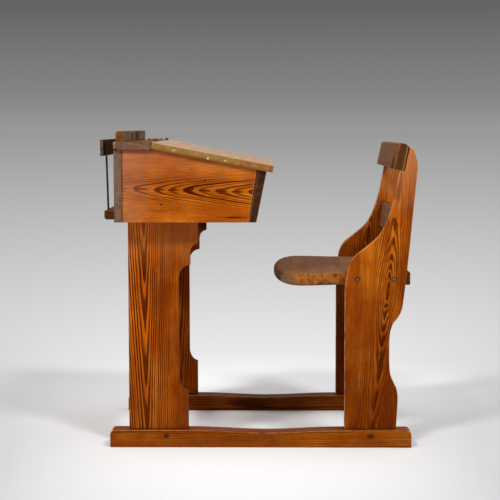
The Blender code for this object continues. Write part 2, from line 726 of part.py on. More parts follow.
def box_bottom():
    """The bottom board, let in between the sides, the back and the slanted front."""
    rear = BOX_REAR + BOX_BACK_THICKNESS + GAP
    top = BOX_UNDERSIDE + BOX_BOTTOM_THICKNESS
    depth = BOX_FRONT_THICKNESS + GAP
    outline = [(rear, BOX_UNDERSIDE), (front_face(BOX_UNDERSIDE, depth), BOX_UNDERSIDE),
               (front_face(top, depth), top), (rear, top)]
    half = BOX_WIDTH / 2 - BOX_SIDE_THICKNESS - GAP
    return prism("box_bottom", outline, -half, half, "y", "pitch_pine")


def box_cleat(side, sign):
    """The batten in the corner of a desk standard and the box's bottom."""
    top = BOX_UNDERSIDE - GAP
    inner = INNER_FACE_Y - GAP
    ends = sorted((sign * inner, sign * (inner - BOX_CLEAT_SIZE)))
    outline = rectangle(0.0, top - BOX_CLEAT_SIZE, BOX_CLEAT_LENGTH, top)
    thing = prism(side + "_box_cleat", outline, ends[0], ends[1], "y", "pitch_pine")
    return placed(eased(thing, STANDARD_EASE), DESK_STANDARD_X + BOX_CLEAT_SETBACK)


# Pen shelf

def pen_shelf():
    """The fixed shelf: a groove that runs out at the left end, and the stepped inkwell hole."""
    rear = BOX_REAR + EDGING_THICKNESS + EDGING_SEAM
    seam = LID_JOINT / 2 / math.cos(LID_SLOPE)
    front_top = JOINT_X - seam
    front_low = front_top - SHELF_THICKNESS * math.tan(LID_SLOPE)
    half = TOP_WIDTH / 2
    outline = [(rear, SHELF_UNDERSIDE), (front_low, SHELF_UNDERSIDE), (front_top, DESK_HEIGHT),
               (rear, DESK_HEIGHT)]
    thing = eased(prism("pen_shelf", outline, -half, half, "y", "worn_pine"), TOP_EASE)
    run = half + INKWELL_Y - GROOVE_TO_INKWELL
    nose = arc((run - GROOVE_RADIUS, 0.0), (GROOVE_RADIUS, GROOVE_RADIUS), 90, 15, COVE_STEPS)
    profile = [(-OVERRUN, GROOVE_RADIUS)] + nose
    start = (JOINT_X - GROOVE_TO_JOINT, -half, DESK_HEIGHT)
    cut(turned("groove", profile, [aimed(start, (0, 1, 0))], ROUND_SIDES), thing)
    step = INKWELL_FLANGE_THICKNESS + GAP
    profile = [(-OVERRUN, INKWELL_FLANGE_RADIUS + GAP), (step, INKWELL_FLANGE_RADIUS + GAP),
               (step, INKWELL_BODY_RADIUS + GAP), (SHELF_THICKNESS + OVERRUN, INKWELL_BODY_RADIUS + GAP)]
    place = aimed((INKWELL_X, INKWELL_Y, DESK_HEIGHT), (0, 0, -1))
    cut(turned("hole", profile, [place], ROUND_SIDES), thing)
    return thing


def shelf_edging():
    """The thin lath along the rear edge of the shelf."""
    outline = rectangle(BOX_REAR, DESK_HEIGHT - EDGING_HEIGHT, BOX_REAR + EDGING_THICKNESS, DESK_HEIGHT)
    half = TOP_WIDTH / 2
    return eased(prism("shelf_edging", outline, -half, half, "y", "worn_pine"), TOP_EASE)


def book_stop():
    """The raised rail on the rear of the shelf, rounded over at the rear."""
    low = BOX_REAR + STOP_INSET
    high = low + STOP_THICKNESS
    base = DESK_HEIGHT + GAP
    top = base + STOP_HEIGHT
    radii = (STOP_ROUND, STOP_ROUND)
    outline = [(low, base), (high, base), (high, top)]
    outline += arc((low + STOP_ROUND, top - STOP_ROUND), radii, 90, 180, COVE_STEPS)
    half = TOP_WIDTH / 2
    return eased(prism("book_stop", outline, -half, half, "y", "pitch_pine"), TOP_EASE)


# Lid, modelled along its own slope from the hinge axis

def lid_frame():
    """The empty on the hinge axis that carries the lid, tilted to its slope."""
    frame = bpy.data.objects.new("lid_hinge_axis", None)
    frame.location = HINGE_AXIS
    frame.rotation_euler = (0.0, LID_SLOPE, 0.0)
    bpy.context.scene.collection.objects.link(frame)
    return frame


def on_lid(thing, frame):
    """Hang a piece that is modelled along the slope on the lid's frame."""
    thing.parent = frame
    return thing


def lid_board(name, low, high, frame):
    """One of the lid's boards, as wide as the desk."""
    half = TOP_WIDTH / 2
    top = -HINGE_LIFT
    thing = prism(name, rectangle(low, top - LID_THICKNESS, high, top), -half, half, "y", "lid_pine")
    return on_lid(eased(thing, LID_EASE), frame)


def lid_batten(side, sign, frame):
    """A batten across the underside of the lid's boards."""
    top = -HINGE_LIFT - LID_THICKNESS - GAP
    middle = sign * (TOP_WIDTH / 2 - BATTEN_INSET)
    outline = rectangle(BATTEN_SETBACK, top - BATTEN_THICKNESS, LID_LENGTH - BATTEN_FRONT_SETBACK, top)
    thing = prism("lid_" + side + "_batten", outline, middle - BATTEN_WIDTH / 2,
                  middle + BATTEN_WIDTH / 2, "y", "pitch_pine")
    return on_lid(eased(thing, STANDARD_EASE), frame)


def lid_matrix():
    """The place and tilt of the lid's frame."""
    return Matrix.Translation(HINGE_AXIS) @ Matrix.Rotation(LID_SLOPE, 4, "Y")


# Hinges, modelled along the lid's slope with their axis at the frame's origin

def hinge_middle(sign):
    """How far across the desk a hinge's middle is."""
    return sign * (TOP_WIDTH / 2 - HINGE_INSET)


def knuckle_section(inward):
    """A leaf's plate with a round knuckle on top, for the shelf (-1) or the lid (1)."""
    radius = HINGE_KNUCKLE_RADIUS
    near = HINGE_LEAF_SPACE / 2
    far = near + HINGE_LEAF_THICKNESS
    low = -HINGE_LIFT - HINGE_LEAF_DEPTH
    start = -math.degrees(math.acos(far / radius))
    end = 360 - math.degrees(math.acos(near / radius))
    ring = arc((0.0, 0.0), (radius, radius), start, end, KNUCKLE_SIDES)
    return [(inward * u, v) for u, v in [(near, low), (far, low)] + ring]


def hinge_leaf(name, sign, inward, finish):
    """A hinge leaf: a plate, with knuckles at every second place along the pin."""
    middle = hinge_middle(sign)
    start = middle - HINGE_LENGTH / 2
    end = middle + HINGE_LENGTH / 2
    near = HINGE_LEAF_SPACE / 2
    far = near + HINGE_LEAF_THICKNESS
    sides = sorted((inward * near, inward * far))
    plate = rectangle(sides[0], -HINGE_LIFT - HINGE_LEAF_DEPTH, sides[1], -HINGE_LIFT - GAP)
    thing = prism(name, plate, start, end, "y", finish)
    pitch = HINGE_LENGTH / HINGE_KNUCKLES
    first = 0 if inward < 0 else 1
    parts = []
    for i in range(first, HINGE_KNUCKLES, 2):
        low = start + i * pitch + (GAP / 2 if i > 0 else 0.0)
        high = start + (i + 1) * pitch - (GAP / 2 if i < HINGE_KNUCKLES - 1 else 0.0)
        parts.append((knuckle_section(inward), low, high, "y"))
    join(thing, prisms("knuckles", parts))
    bore = [(-OVERRUN, HINGE_PIN_RADIUS + PIN_CLEARANCE),
            (HINGE_LENGTH + OVERRUN, HINGE_PIN_RADIUS + PIN_CLEARANCE)]
    cut(turned("bore", bore, [aimed((0.0, start, 0.0), (0, 1, 0))], KNUCKLE_SIDES), thing)
    hole = [(-GAP, HINGE_HOLE_RIM + GAP), (HINGE_LEAF_THICKNESS + GAP, HINGE_HOLE - GAP)]
    depth = -HINGE_LIFT - HINGE_HOLE_DEPTH
    places = [aimed((inward * near, middle + share * HINGE_LENGTH, depth), (inward, 0, 0))
              for share in HINGE_HOLE_SHARES]
    cut(turned("holes", hole, places, SCREW_SIDES), thing)
    soften(thing)
    return thing


def hinge_pin(side, sign):
    """The pin through a hinge's knuckles."""
    start = (HINGE_AXIS[0], hinge_middle(sign) - HINGE_LENGTH / 2, HINGE_AXIS[2])
    return turned(side + "_hinge_pin", [(0.0, HINGE_PIN_RADIUS), (HINGE_LENGTH, HINGE_PIN_RADIUS)],
                  [aimed(start, (0, 1, 0))], KNUCKLE_SIDES, "iron")


def hinge_recess(inward, *targets):
    """The shallow recesses that the leaves are let into."""
    depth = HINGE_LEAF_SPACE / 2 + HINGE_LEAF_THICKNESS + GAP
    edges = sorted((inward * depth, -inward * OVERRUN))
    outline = rectangle(edges[0], -HINGE_LIFT - HINGE_LEAF_DEPTH - GAP, edges[1], OVERRUN)
    parts = [(outline, hinge_middle(sign) - HINGE_LENGTH / 2 - GAP,
              hinge_middle(sign) + HINGE_LENGTH / 2 + GAP, "y") for _, sign in SIDES]
    tool = prisms("recess", parts)
    tool.matrix_world = lid_matrix()
    cut(tool, *targets)


def hinges(shelf, lid_rear, frame):
    """Both butt hinges, each of two leaves and a pin, with their recesses."""
    hinge_recess(-1, shelf)
    hinge_recess(1, lid_rear)
    for side, sign in SIDES:
        fixed = hinge_leaf(side + "_hinge_shelf_leaf", sign, -1, "iron")
        fixed.matrix_world = lid_matrix()
        on_lid(hinge_leaf(side + "_hinge_lid_leaf", sign, 1, "iron"), frame)
        hinge_pin(side, sign)


# Inkwell

def inkwell():
    """The ceramic well, hanging by its flange in the stepped hole."""
    flange = INKWELL_FLANGE_THICKNESS
    wall = INKWELL_WALL
    outer = [(0.0, INKWELL_FLANGE_RADIUS), (flange, INKWELL_FLANGE_RADIUS), (flange, INKWELL_BODY_RADIUS),
             (INKWELL_DEPTH - wall, INKWELL_BASE_RADIUS + wall / 2), (INKWELL_DEPTH, INKWELL_BASE_RADIUS)]
    place = aimed((INKWELL_X, INKWELL_Y, DESK_HEIGHT), (0, 0, -1))
    thing = turned("inkwell", outer, [place], ROUND_SIDES, "ceramic")
    inner = [(-OVERRUN, INKWELL_BODY_RADIUS - wall), (flange, INKWELL_BODY_RADIUS - wall),
             (INKWELL_DEPTH - 2 * wall, INKWELL_BASE_RADIUS - wall / 2),
             (INKWELL_DEPTH - wall, INKWELL_BASE_RADIUS - wall)]
    cut(turned("hollow", inner, [place], ROUND_SIDES), thing)
    soften(thing)
    return thing


def inkwell_plate():
    """The metal ring screwed over the well's flange."""
    low = DESK_HEIGHT + GAP
    place = aimed((INKWELL_X, INKWELL_Y, low), (0, 0, 1))
    outer = [(0.0, INKWELL_PLATE_RADIUS), (INKWELL_PLATE_THICKNESS, INKWELL_PLATE_RADIUS)]
    thing = turned("inkwell_plate", outer, [place], ROUND_SIDES, "brass")
    hole = [(-OVERRUN, INKWELL_PLATE_HOLE), (INKWELL_PLATE_THICKNESS + OVERRUN, INKWELL_PLATE_HOLE)]
    cut(turned("hole", hole, [place], ROUND_SIDES), thing)
    return thing


def inkwell_cover():
    """The cover: a domed disc with an ear on the pivot and a thumb tab that turns up."""
    ear = (COVER_EAR_RADIUS, COVER_EAR_RADIUS)
    disc = (COVER_RADIUS, COVER_RADIUS)
    outline = arc((0.0, 0.0), ear, 90, 270, COVE_STEPS)
    outline += arc((COVER_REACH, 0.0), disc, -120, 120, ROUND_SIDES)
    thing = prism("inkwell_cover", outline, 0.0, COVER_THICKNESS, "z", "iron")
    middle = COVER_THICKNESS / 2
    dome = arc((0.0, middle), (COVER_DOME_RADIUS, COVER_THICKNESS / 2 + COVER_DOME), 0, 75, COVE_STEPS)
    profile = [(height, radius) for radius, height in dome]
    join(thing, turned("dome", profile, [aimed((COVER_REACH, 0.0, 0.0), (0, 0, 1))], ROUND_SIDES))
    end = COVER_REACH + COVER_RADIUS
    tab = [(end - COVER_TAB_LENGTH / 2, middle), (end, middle), (end + COVER_TAB_LENGTH / 3, COVER_TAB_RISE),
           (end + COVER_TAB_LENGTH / 3 - COVER_THICKNESS, COVER_TAB_RISE + COVER_THICKNESS)]
    half = COVER_TAB_WIDTH / 2
    join(thing, prism("tab", tab, -half, half, "y"))
    hole = [(-OVERRUN, PIVOT_RADIUS + GAP), (COVER_THICKNESS + COVER_DOME, PIVOT_RADIUS + GAP)]
    cut(turned("hole", hole, [Matrix()], SCREW_SIDES), thing)
    soften(thing)
    height = DESK_HEIGHT + INKWELL_PLATE_THICKNESS + 2 * GAP
    return placed(thing, INKWELL_X - COVER_REACH, INKWELL_Y, height)


def inkwell_pivot(plate, shelf):
    """The domed rivet that the cover swings on."""
    cover_top = DESK_HEIGHT + INKWELL_PLATE_THICKNESS + COVER_THICKNESS + 3 * GAP
    shank = cover_top - DESK_HEIGHT + PIVOT_DEPTH
    dome = arc((0.0, 0.0), (PIVOT_HEAD_RADIUS, PIVOT_HEAD_HEIGHT), 75, 0, COVE_STEPS)
    profile = [(-height, radius) for radius, height in dome] + [(0.0, PIVOT_RADIUS), (shank, PIVOT_RADIUS)]
    place = aimed((INKWELL_X - COVER_REACH, INKWELL_Y, cover_top), (0, 0, -1))
    hole = [(-OVERRUN, PIVOT_RADIUS + GAP), (shank + GAP, PIVOT_RADIUS + GAP)]
    cut(turned("hole", hole, [place], SCREW_SIDES), plate, shelf)
    return turned("inkwell_pivot", profile, [place], SCREW_SIDES, "iron")


# Rear book rack

def rack_ledge():
    """The ledge low on the back of the box, which books stand on."""
    low = BOX_REAR - GAP - RACK_LEDGE_DEPTH
    base = BOX_UNDERSIDE + RACK_LEDGE_LIFT
    top = base + RACK_LEDGE_HEIGHT
    radii = (RACK_LEDGE_ROUND, RACK_LEDGE_ROUND)
    outline = [(BOX_REAR - GAP, base), (BOX_REAR - GAP, top), (low, top)]
    outline += arc((low + RACK_LEDGE_ROUND, base + RACK_LEDGE_ROUND), radii, 180, 270, COVE_STEPS)
    half = TOP_WIDTH / 2
    return eased(prism("rack_ledge", outline, -half, half, "y", "dark_wood"), TOP_EASE)


def rack_rail():
    """The thin rail that keeps books from falling out at the rear."""
    high = BOX_REAR - RACK_SLOT
    top = DESK_HEIGHT + RACK_RAIL_RISE
    outline = rectangle(high - RACK_RAIL_THICKNESS, top - RACK_RAIL_HEIGHT, high, top)
    half = TOP_WIDTH / 2
    return eased(prism("rack_rail", outline, -half, half, "y", "dark_wood"), TOP_EASE)


def rod(name, line):
    """A round iron rod along a line of points."""
    curve = bpy.data.curves.new(name, "CURVE")
    curve.dimensions = "3D"
    curve.bevel_depth = RACK_ROD_RADIUS
    curve.bevel_resolution = 3
    curve.use_fill_caps = True
    spline = curve.splines.new("POLY")
    spline.points.add(len(line) - 1)
    for point, place in zip(spline.points, line):
        point.co = (*place, 1.0)
    curve.materials.append(finish_material(name, "iron"))
    thing = bpy.data.objects.new(name, curve)
    bpy.context.scene.collection.objects.link(thing)


def rack_rods(ledge):
    """Iron rods that stand in the ledge and hold the rail against their upper ends."""
    foot_x = BOX_REAR - GAP - RACK_LEDGE_DEPTH + RACK_ROD_SETBACK
    head_x = BOX_REAR - RACK_SLOT + GAP + RACK_ROD_RADIUS
    ledge_top = BOX_UNDERSIDE + RACK_LEDGE_LIFT + RACK_LEDGE_HEIGHT
    rail_top = DESK_HEIGHT + RACK_RAIL_RISE
    heights = (ledge_top - RACK_ROD_SOCKET, ledge_top, rail_top - RACK_RAIL_HEIGHT, rail_top - RACK_ROD_TOP)
    line = list(zip((foot_x, foot_x, head_x, head_x), heights))
    reach = TOP_WIDTH / 2 - RACK_ROD_INSET
    rows = [-reach, 0.0, reach]
    radius = RACK_ROD_RADIUS + GAP
    hole = [(-GAP, radius), (RACK_ROD_SOCKET + OVERRUN, radius)]
    places = [aimed((foot_x, row, heights[0]), (0, 0, 1)) for row in rows]
    cut(turned("hole", hole, places, SCREW_SIDES), ledge)
    for name, row in zip(("left_rack_rod", "middle_rack_rod", "right_rack_rod"), rows):
        rod(name, [(x, row, z) for x, z in line])


def main():
    """Build every piece of the desk."""
    clear_scene()
    feet = [foot(*side) for side in SIDES]
    desk_standards = [desk_standard(*side) for side in SIDES]
    seat_standards = [seat_standard(*side) for side in SIDES]
    for foot_piece, (_, sign) in zip(feet, SIDES):
        mortise(foot_piece, DESK_STANDARD_X, sign * STANDARD_Y, 0.0, DESK_BASE_WIDTH)
        mortise(foot_piece, SEAT_STANDARD_X, sign * STANDARD_Y, 0.0,
                SEAT_BASE_SHARE * SEAT_STANDARD_WIDTH)
    foot_pegs(feet, desk_standards + seat_standards)
    cross_rail(desk_standards)
    head = top_back_rail(seat_standards)
    lower_back_rail(seat_standards)
    back_rail_screws(head, seat_standards)
    seat = seat_board()
    for side in SIDES:
        seat_cleat(*side)
    seat_screws(seat, seat_standards)
    for side in SIDES:
        box_side(*side)
    box_front()
    box_back()
    box_bottom()
    for side in SIDES:
        box_cleat(*side)
    shelf = pen_shelf()
    shelf_edging()
    book_stop()
    frame = lid_frame()
    split = LID_LENGTH - LID_FRONT_BOARD
    lid_rear = lid_board("lid_rear_board", LID_JOINT / 2, split - GAP / 2, frame)
    lid_board("lid_front_board", split + GAP / 2, LID_LENGTH, frame)
    for side, sign in SIDES:
        lid_batten(side, sign, frame)
    hinges(shelf, lid_rear, frame)
    inkwell()
    plate = inkwell_plate()
    inkwell_cover()
    inkwell_pivot(plate, shelf)
    rack_rail()
    rack_rods(rack_ledge())


main()
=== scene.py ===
"""A child's school desk in waxed pitch pine, with the finish of every surface and its small fittings.

Sizes are metres. X runs from the book rack (-X) to the seat back (+X), and the pupil's left is -Y.
"""
import json
import math
from collections.abc import Sequence
from dataclasses import dataclass

import bmesh
import bpy
from bpy.props import FloatProperty, FloatVectorProperty, IntProperty, PointerProperty
from mathutils import Matrix, Vector


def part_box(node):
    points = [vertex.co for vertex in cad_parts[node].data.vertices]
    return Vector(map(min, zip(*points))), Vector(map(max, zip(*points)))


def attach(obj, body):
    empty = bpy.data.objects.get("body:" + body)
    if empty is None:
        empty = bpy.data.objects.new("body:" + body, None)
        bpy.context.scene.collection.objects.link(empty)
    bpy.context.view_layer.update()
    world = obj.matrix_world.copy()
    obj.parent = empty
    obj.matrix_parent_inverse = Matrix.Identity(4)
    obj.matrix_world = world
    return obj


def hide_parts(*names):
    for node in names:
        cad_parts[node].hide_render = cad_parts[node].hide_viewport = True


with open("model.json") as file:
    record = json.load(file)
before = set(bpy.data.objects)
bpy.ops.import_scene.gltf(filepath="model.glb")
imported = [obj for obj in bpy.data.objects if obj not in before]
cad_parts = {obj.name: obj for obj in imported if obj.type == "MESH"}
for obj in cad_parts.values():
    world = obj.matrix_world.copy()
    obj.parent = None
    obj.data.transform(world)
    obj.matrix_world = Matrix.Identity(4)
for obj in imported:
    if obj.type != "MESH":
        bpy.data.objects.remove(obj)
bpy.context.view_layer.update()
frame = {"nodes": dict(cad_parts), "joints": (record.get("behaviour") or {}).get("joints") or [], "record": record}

bl_info = {
    "name": "School Desk",
    "version": (1, 0, 0),
    "blender": (4, 5, 0),
    "location": "3D View > Sidebar > School Desk",
    "description": "Dresses a pitch pine school desk: grain, wear, fittings and a plain studio",
    "category": "Object",
}


def low(node):
    """The lowest corner of a piece of the frame."""
    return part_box(node)[0]


def high(node):
    """The highest corner of a piece of the frame."""
    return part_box(node)[1]


def middle(node):
    """The middle of a piece of the frame."""
    return (low(node) + high(node)) / 2


def half_width(node):
    """Half of a piece's size along X."""
    return (high(node).x - low(node).x) / 2


def outer_face(node, sign):
    """The y of the face that a piece turns away from the desk's middle."""
    return low(node).y if sign < 0 else high(node).y


def between(start, end, share):
    """A place on the way from start to end."""
    return start + share * (end - start)


def span(node, way):
    """The least and the most of a node's points along a direction."""
    reaches = [sum(a * b for a, b in zip(frame["nodes"][node].matrix_world @ point.co, way))
               for point in frame["nodes"][node].data.vertices]
    return min(reaches), max(reaches)


def shade(red, green, blue):
    """A screen colour from 0 to 255 as the linear colour that shaders use."""
    parts = [c / 255 for c in (red, green, blue)]
    return tuple(c / 12.92 if c <= 0.04045 else ((c + 0.055) / 1.055) ** 2.4 for c in parts) + (1.0,)


# Places read from the frame
LID_JOINT = next(joint for joint in frame["joints"] if joint["child"] == "lid")
HINGE_AXIS = Vector(LID_JOINT["pos_m"])
LID_FACE = max(frame["nodes"]["lid_rear_board"].data.polygons, key=lambda face: face.area).normal
LID_SLOPE = math.atan(LID_FACE.x / LID_FACE.z)
LID_TURN = Matrix.Rotation(LID_SLOPE, 4, "Y")
INNER_FACE = high("left_seat_standard").y
SHELF_TOP = high("pen_shelf").z
BOX_BASE = low("box_left_side").z

# Directions: the sides with the sign of their Y, two axes, and how far the box's front leans
SIDES = {"left": -1, "right": 1}
ALONG = (1.0, 0.0, 0.0)
UP = (0.0, 0.0, 1.0)
FRONT_SLANT = math.radians(11.4)


def colour_setting(name, description, colour):
    """A colour that a user may change."""
    return FloatVectorProperty(name=name, description=description, subtype="COLOR", size=4,
                               min=0.0, max=1.0, default=colour)


def length_setting(name, description, length):
    """A length that a user may change."""
    return FloatProperty(name=name, description=description, unit="LENGTH", subtype="DISTANCE",
                         precision=5, default=length)


def share_setting(name, description, share):
    """A share from nothing to all."""
    return FloatProperty(name=name, description=description, subtype="FACTOR", min=0.0, max=1.0,
                         default=share)


class DeskWoodSettings(bpy.types.PropertyGroup):
    """Colours and wear of the pine."""
    early: colour_setting("Early wood", "Pale wood between the rings", shade(216, 120, 28))
    middle: colour_setting("Middle tone", "Broad darker clouds in the pale wood", shade(168, 74, 5))
    late: colour_setting("Late wood", "Dark lines of the rings", shade(58, 12, 0))
    worn: colour_setting("Worn arris", "Bare wood where the wax has rubbed off", shade(222, 160, 120))
    # This dirt colour is laid as old dirt in knots and blots, and also as painted shade under the seat, over the
    # far foot and in the head rail's shadow gap.
    grime: colour_setting("Grime", "Old dirt in the hollows and knots", shade(40, 14, 3))
    ring: length_setting("Ring spacing", "Distance between growth rings", 0.0046)
    sheen: colour_setting("Sheen", "Warm tint of the wax seen straight on", shade(255, 120, 10))
    wax: share_setting("Wax", "How much the wax shines", 0.04)
    seat_nose: length_setting("Seat nose", "Depth of the seat's rounded front", 0.067)
    seat_power: FloatProperty(name="Seat fullness", description="Fullness of the seat's corners",
                              default=2.2, min=1.5, max=4.0)
    seat_round: length_setting("Seat rounding", "Radius on the seat's nose", 0.013)
    seat_edge: length_setting("Seat side rounding", "Radius on the seat's sides", 0.003)
    seat_hollow: length_setting("Seat hollow", "Depth that sitting has worn", 0.0012)


class DeskFittingSettings(bpy.types.PropertyGroup):
    """Sizes and colours of the metal and ceramic."""
    screw_head: length_setting("Screw head", "Radius of a small screw's head", 0.0028)
    plate_screw_head: length_setting("Plate screw head", "Radius of the inkwell plate's screws", 0.0019)
    slot_width: length_setting("Slot width", "Width of a screw's slot", 0.0006)
    nail_head: length_setting("Nail head", "Radius of a nail's head", 0.0015)
    proud: length_setting("Proud", "How far a head stands out of the wood", 0.0002)
    rod: length_setting("Rod", "Radius of a rack rod", 0.0025)
    iron: colour_setting("Iron", "Dark iron", shade(58, 52, 48))
    rust: colour_setting("Rust", "Brown bloom on the iron", shade(92, 56, 34))
    brass: colour_setting("Brass", "Dull brass", shade(150, 120, 70))
    glaze: colour_setting("Glaze", "The inkwell's glaze", shade(226, 220, 204))
    ink: colour_setting("Ink", "Dried ink", shade(22, 22, 34))
    seed: IntProperty(name="Seed", description="Turns the screws' slots", default=7)


class DeskStudioSettings(bpy.types.PropertyGroup):
    """The camera, the lights and the floor."""
    lens: FloatProperty(name="Lens", description="Focal length", unit="CAMERA", default=103.68)
    place: FloatVectorProperty(name="Camera", description="Where the camera stands", size=3,
                               subtype="TRANSLATION", default=(0.02335, -3.850, 0.8048))
    dip: FloatProperty(name="Dip", description="How far the camera looks down", subtype="ANGLE",
                       default=math.radians(4.842))
    swing: FloatProperty(name="Swing", description="How far the camera looks left", subtype="ANGLE",
                         default=math.radians(0.7758))
    # The floor colours paint a pool of light round the desk and its falling off with distance.
    floor: colour_setting("Floor", "The floor round the desk", shade(252, 252, 252))
    distance: colour_setting("Distance", "The floor far off", shade(137, 137, 137))
    key: FloatProperty(name="Key light", description="Strength of the main light", default=1.10)
    fill: FloatProperty(name="Fill light", description="Strength of the second light", default=1.06)
    sky: FloatProperty(name="Surroundings", description="Strength of the light all round", default=1.0)
    reach: length_setting("Reach", "How far off the floor turns grey", 3.85)


# Node graphs written as Python

def maths(operation, reflected=False):
    """A method that sends its numbers through one Math node."""
    def method(*numbers):
        ordered = reversed(numbers) if reflected else numbers
        return numbers[0].graph.value("ShaderNodeMath", {"operation": operation}, dict(enumerate(ordered)))
    return method


class Value:
    """A number that flows through a node graph, so that sums are written as Python."""
    __add__ = __radd__ = maths("ADD")
    __sub__ = maths("SUBTRACT")
    __rsub__ = maths("SUBTRACT", reflected=True)
    __mul__ = __rmul__ = maths("MULTIPLY")
    __truediv__ = maths("DIVIDE")
    __rtruediv__ = maths("DIVIDE", reflected=True)
    __pow__ = maths("POWER")
    __abs__ = maths("ABSOLUTE")
    root = maths("SQRT")
    least = maths("MINIMUM")
    most = maths("MAXIMUM")
    cosine = maths("COSINE")
    sine = maths("SINE")
    fraction = maths("FRACT")
    whole = maths("FLOOR")
    above = maths("GREATER_THAN")

    def __init__(self, graph, socket):
        self.graph = graph
        self.socket = socket

    def rise(self, start, end):
        """A smooth step from 0 at start to 1 at end."""
        return self.graph.value("ShaderNodeMapRange", {"interpolation_type": "SMOOTHSTEP"},
                                {"Value": self, "From Min": start, "From Max": end})


class Graph:
    """A node tree, with one way to add any node."""

    def __init__(self, tree):
        self.tree = tree

    def feed(self, socket, value):
        """Link a value, a socket or a node's first output, or set a constant, on a socket."""
        if isinstance(value, Value):
            self.tree.links.new(value.socket, socket)
        elif isinstance(value, bpy.types.NodeSocket):
            self.tree.links.new(value, socket)
        elif isinstance(value, bpy.types.Node):
            self.tree.links.new(value.outputs[0], socket)
        else:
            socket.default_value = value

    def node(self, kind, settings=None, values=None):
        """Add a node: its settings first, then the values or links of its sockets."""
        node = self.tree.nodes.new(kind)
        for name, setting in (settings or {}).items():
            setattr(node, name, setting)
        for key, value in (values or {}).items():
            self.feed(node.inputs[key], value)
        return node

    def value(self, kind, settings=None, values=None):
        """Add a node and take its first output as a number."""
        return Value(self, self.node(kind, settings, values).outputs[0])

    def parts(self, vector):
        """The x, y and z of a vector."""
        node = self.node("ShaderNodeSeparateXYZ", None, {0: vector})
        return {axis: Value(self, node.outputs[i]) for i, axis in enumerate("xyz")}

    def vector(self, x, y, z):
        """A vector from three numbers."""
        return self.value("ShaderNodeCombineXYZ", None, {0: x, 1: y, 2: z})


class Finish(Graph):
    """A material's node graph, with the colour that it has so far."""

    def __init__(self, name, colour):
        self.material = bpy.data.materials.new(name)
        self.material.use_nodes = True
        super().__init__(self.material.node_tree)
        self.tree.nodes.clear()
        place = self.node("ShaderNodeTexCoord")
        self.place = self.parts(place.outputs["Object"])
        self.normal = self.parts(place.outputs["Normal"])
        self.colour = colour

    def noise(self, where, scale=1.0, detail=2.0, roughness=0.5):
        """Noise at a place, round about 0.5."""
        return self.value("ShaderNodeTexNoise", {"noise_dimensions": "3D"},
                          {"Vector": where, "Scale": scale, "Detail": detail, "Roughness": roughness})

    def speckle(self, scale, detail, roughness=0.5, shift=0.0):
        """Noise that is the same along each axis, shifted."""
        where = self.vector(*(self.place[axis] + shift for axis in "xyz"))
        return self.noise(where, scale, detail, roughness)

    def mix(self, share, first, second):
        """One colour with a share of another over it."""
        node = self.node("ShaderNodeMix", {"data_type": "RGBA"}, {0: share, 6: first, 7: second})
        return node.outputs[2]

    def lay(self, share, tint):
        """Lay a share of a tint over the colour."""
        self.colour = self.mix(share, self.colour, tint)

    def darken(self, share):
        """Make the colour darker or brighter by a number."""
        node = self.node("ShaderNodeMix", {"data_type": "RGBA", "blend_type": "MULTIPLY"},
                         {0: 1.0, 6: self.colour, 7: self.vector(share, share, share)})
        self.colour = node.outputs[2]

    def chance(self, number):
        """A chance from 0 to 1 for each whole number."""
        return self.value("ShaderNodeTexWhiteNoise", {"noise_dimensions": "1D"}, {"W": number})

    def done(self, roughness, height, depth, metallic=0.0, coat=0.0, coat_roughness=0.25, strength=1.0,
             bend=1.5, tint=(1.0, 1.0, 1.0, 1.0)):
        """Close the graph with its shader."""
        bump = self.node("ShaderNodeBump", None, {"Strength": strength, "Distance": depth, "Height": height})
        shader = self.node("ShaderNodeBsdfPrincipled", None, {
            "Base Color": self.colour, "Roughness": roughness, "Metallic": metallic, "IOR": bend,
            "Specular Tint": tint, "Coat Weight": coat, "Coat Roughness": coat_roughness, "Normal": bump})
        self.node("ShaderNodeOutputMaterial", None, {0: shader})
        return self.material


@dataclass
class Grain:
    """How one board was cut from its log: where the pith lay, and which way the rings run out."""
    along: str = "y"
    across: str = "z"
    centre: float = 0.0
    pith: float = 0.0
    peak: float = 0.0
    up: float = -0.05
    down: float = 0.05
    lean: float = 0.0
    reach: float = 0.05
    faint: float = 0.3
    spacing: float = 1.0
    tight: float = 0.0
    sway: float = 0.006
    churn: float = 0.003
    jitter: float = 1.2
    core: float = 0.0
    # How far the rings' eye lies under the face, and how long it is
    eye: tuple = ()
    # The axis of the board's face, where its edges are to look sawn
    face: str = ""
    seed: float = 0.0
    contrast: float = 1.0
    tone: float = 1.0
    red: float = 0.0
    grey: float = 0.0
    # On the lid this pale share is painted glare over the faces; elsewhere it is faded wood.
    bleach: float = 0.0
    stain: float = 0.0
    worn: float = 0.5
    rim: tuple = ()
    end: tuple = ()
    pale: tuple = ()
    mottle: float = 1.0
    # Each knot: its place along and across, its size, and how far it is drawn out
    knots: Sequence = ()
    # Each wash: its direction, where it is full, where it ends, its share and its tint
    washes: Sequence = ()
    # Each spot on an end: its middle and its size in x and z, and its tint
    spots: Sequence = ()


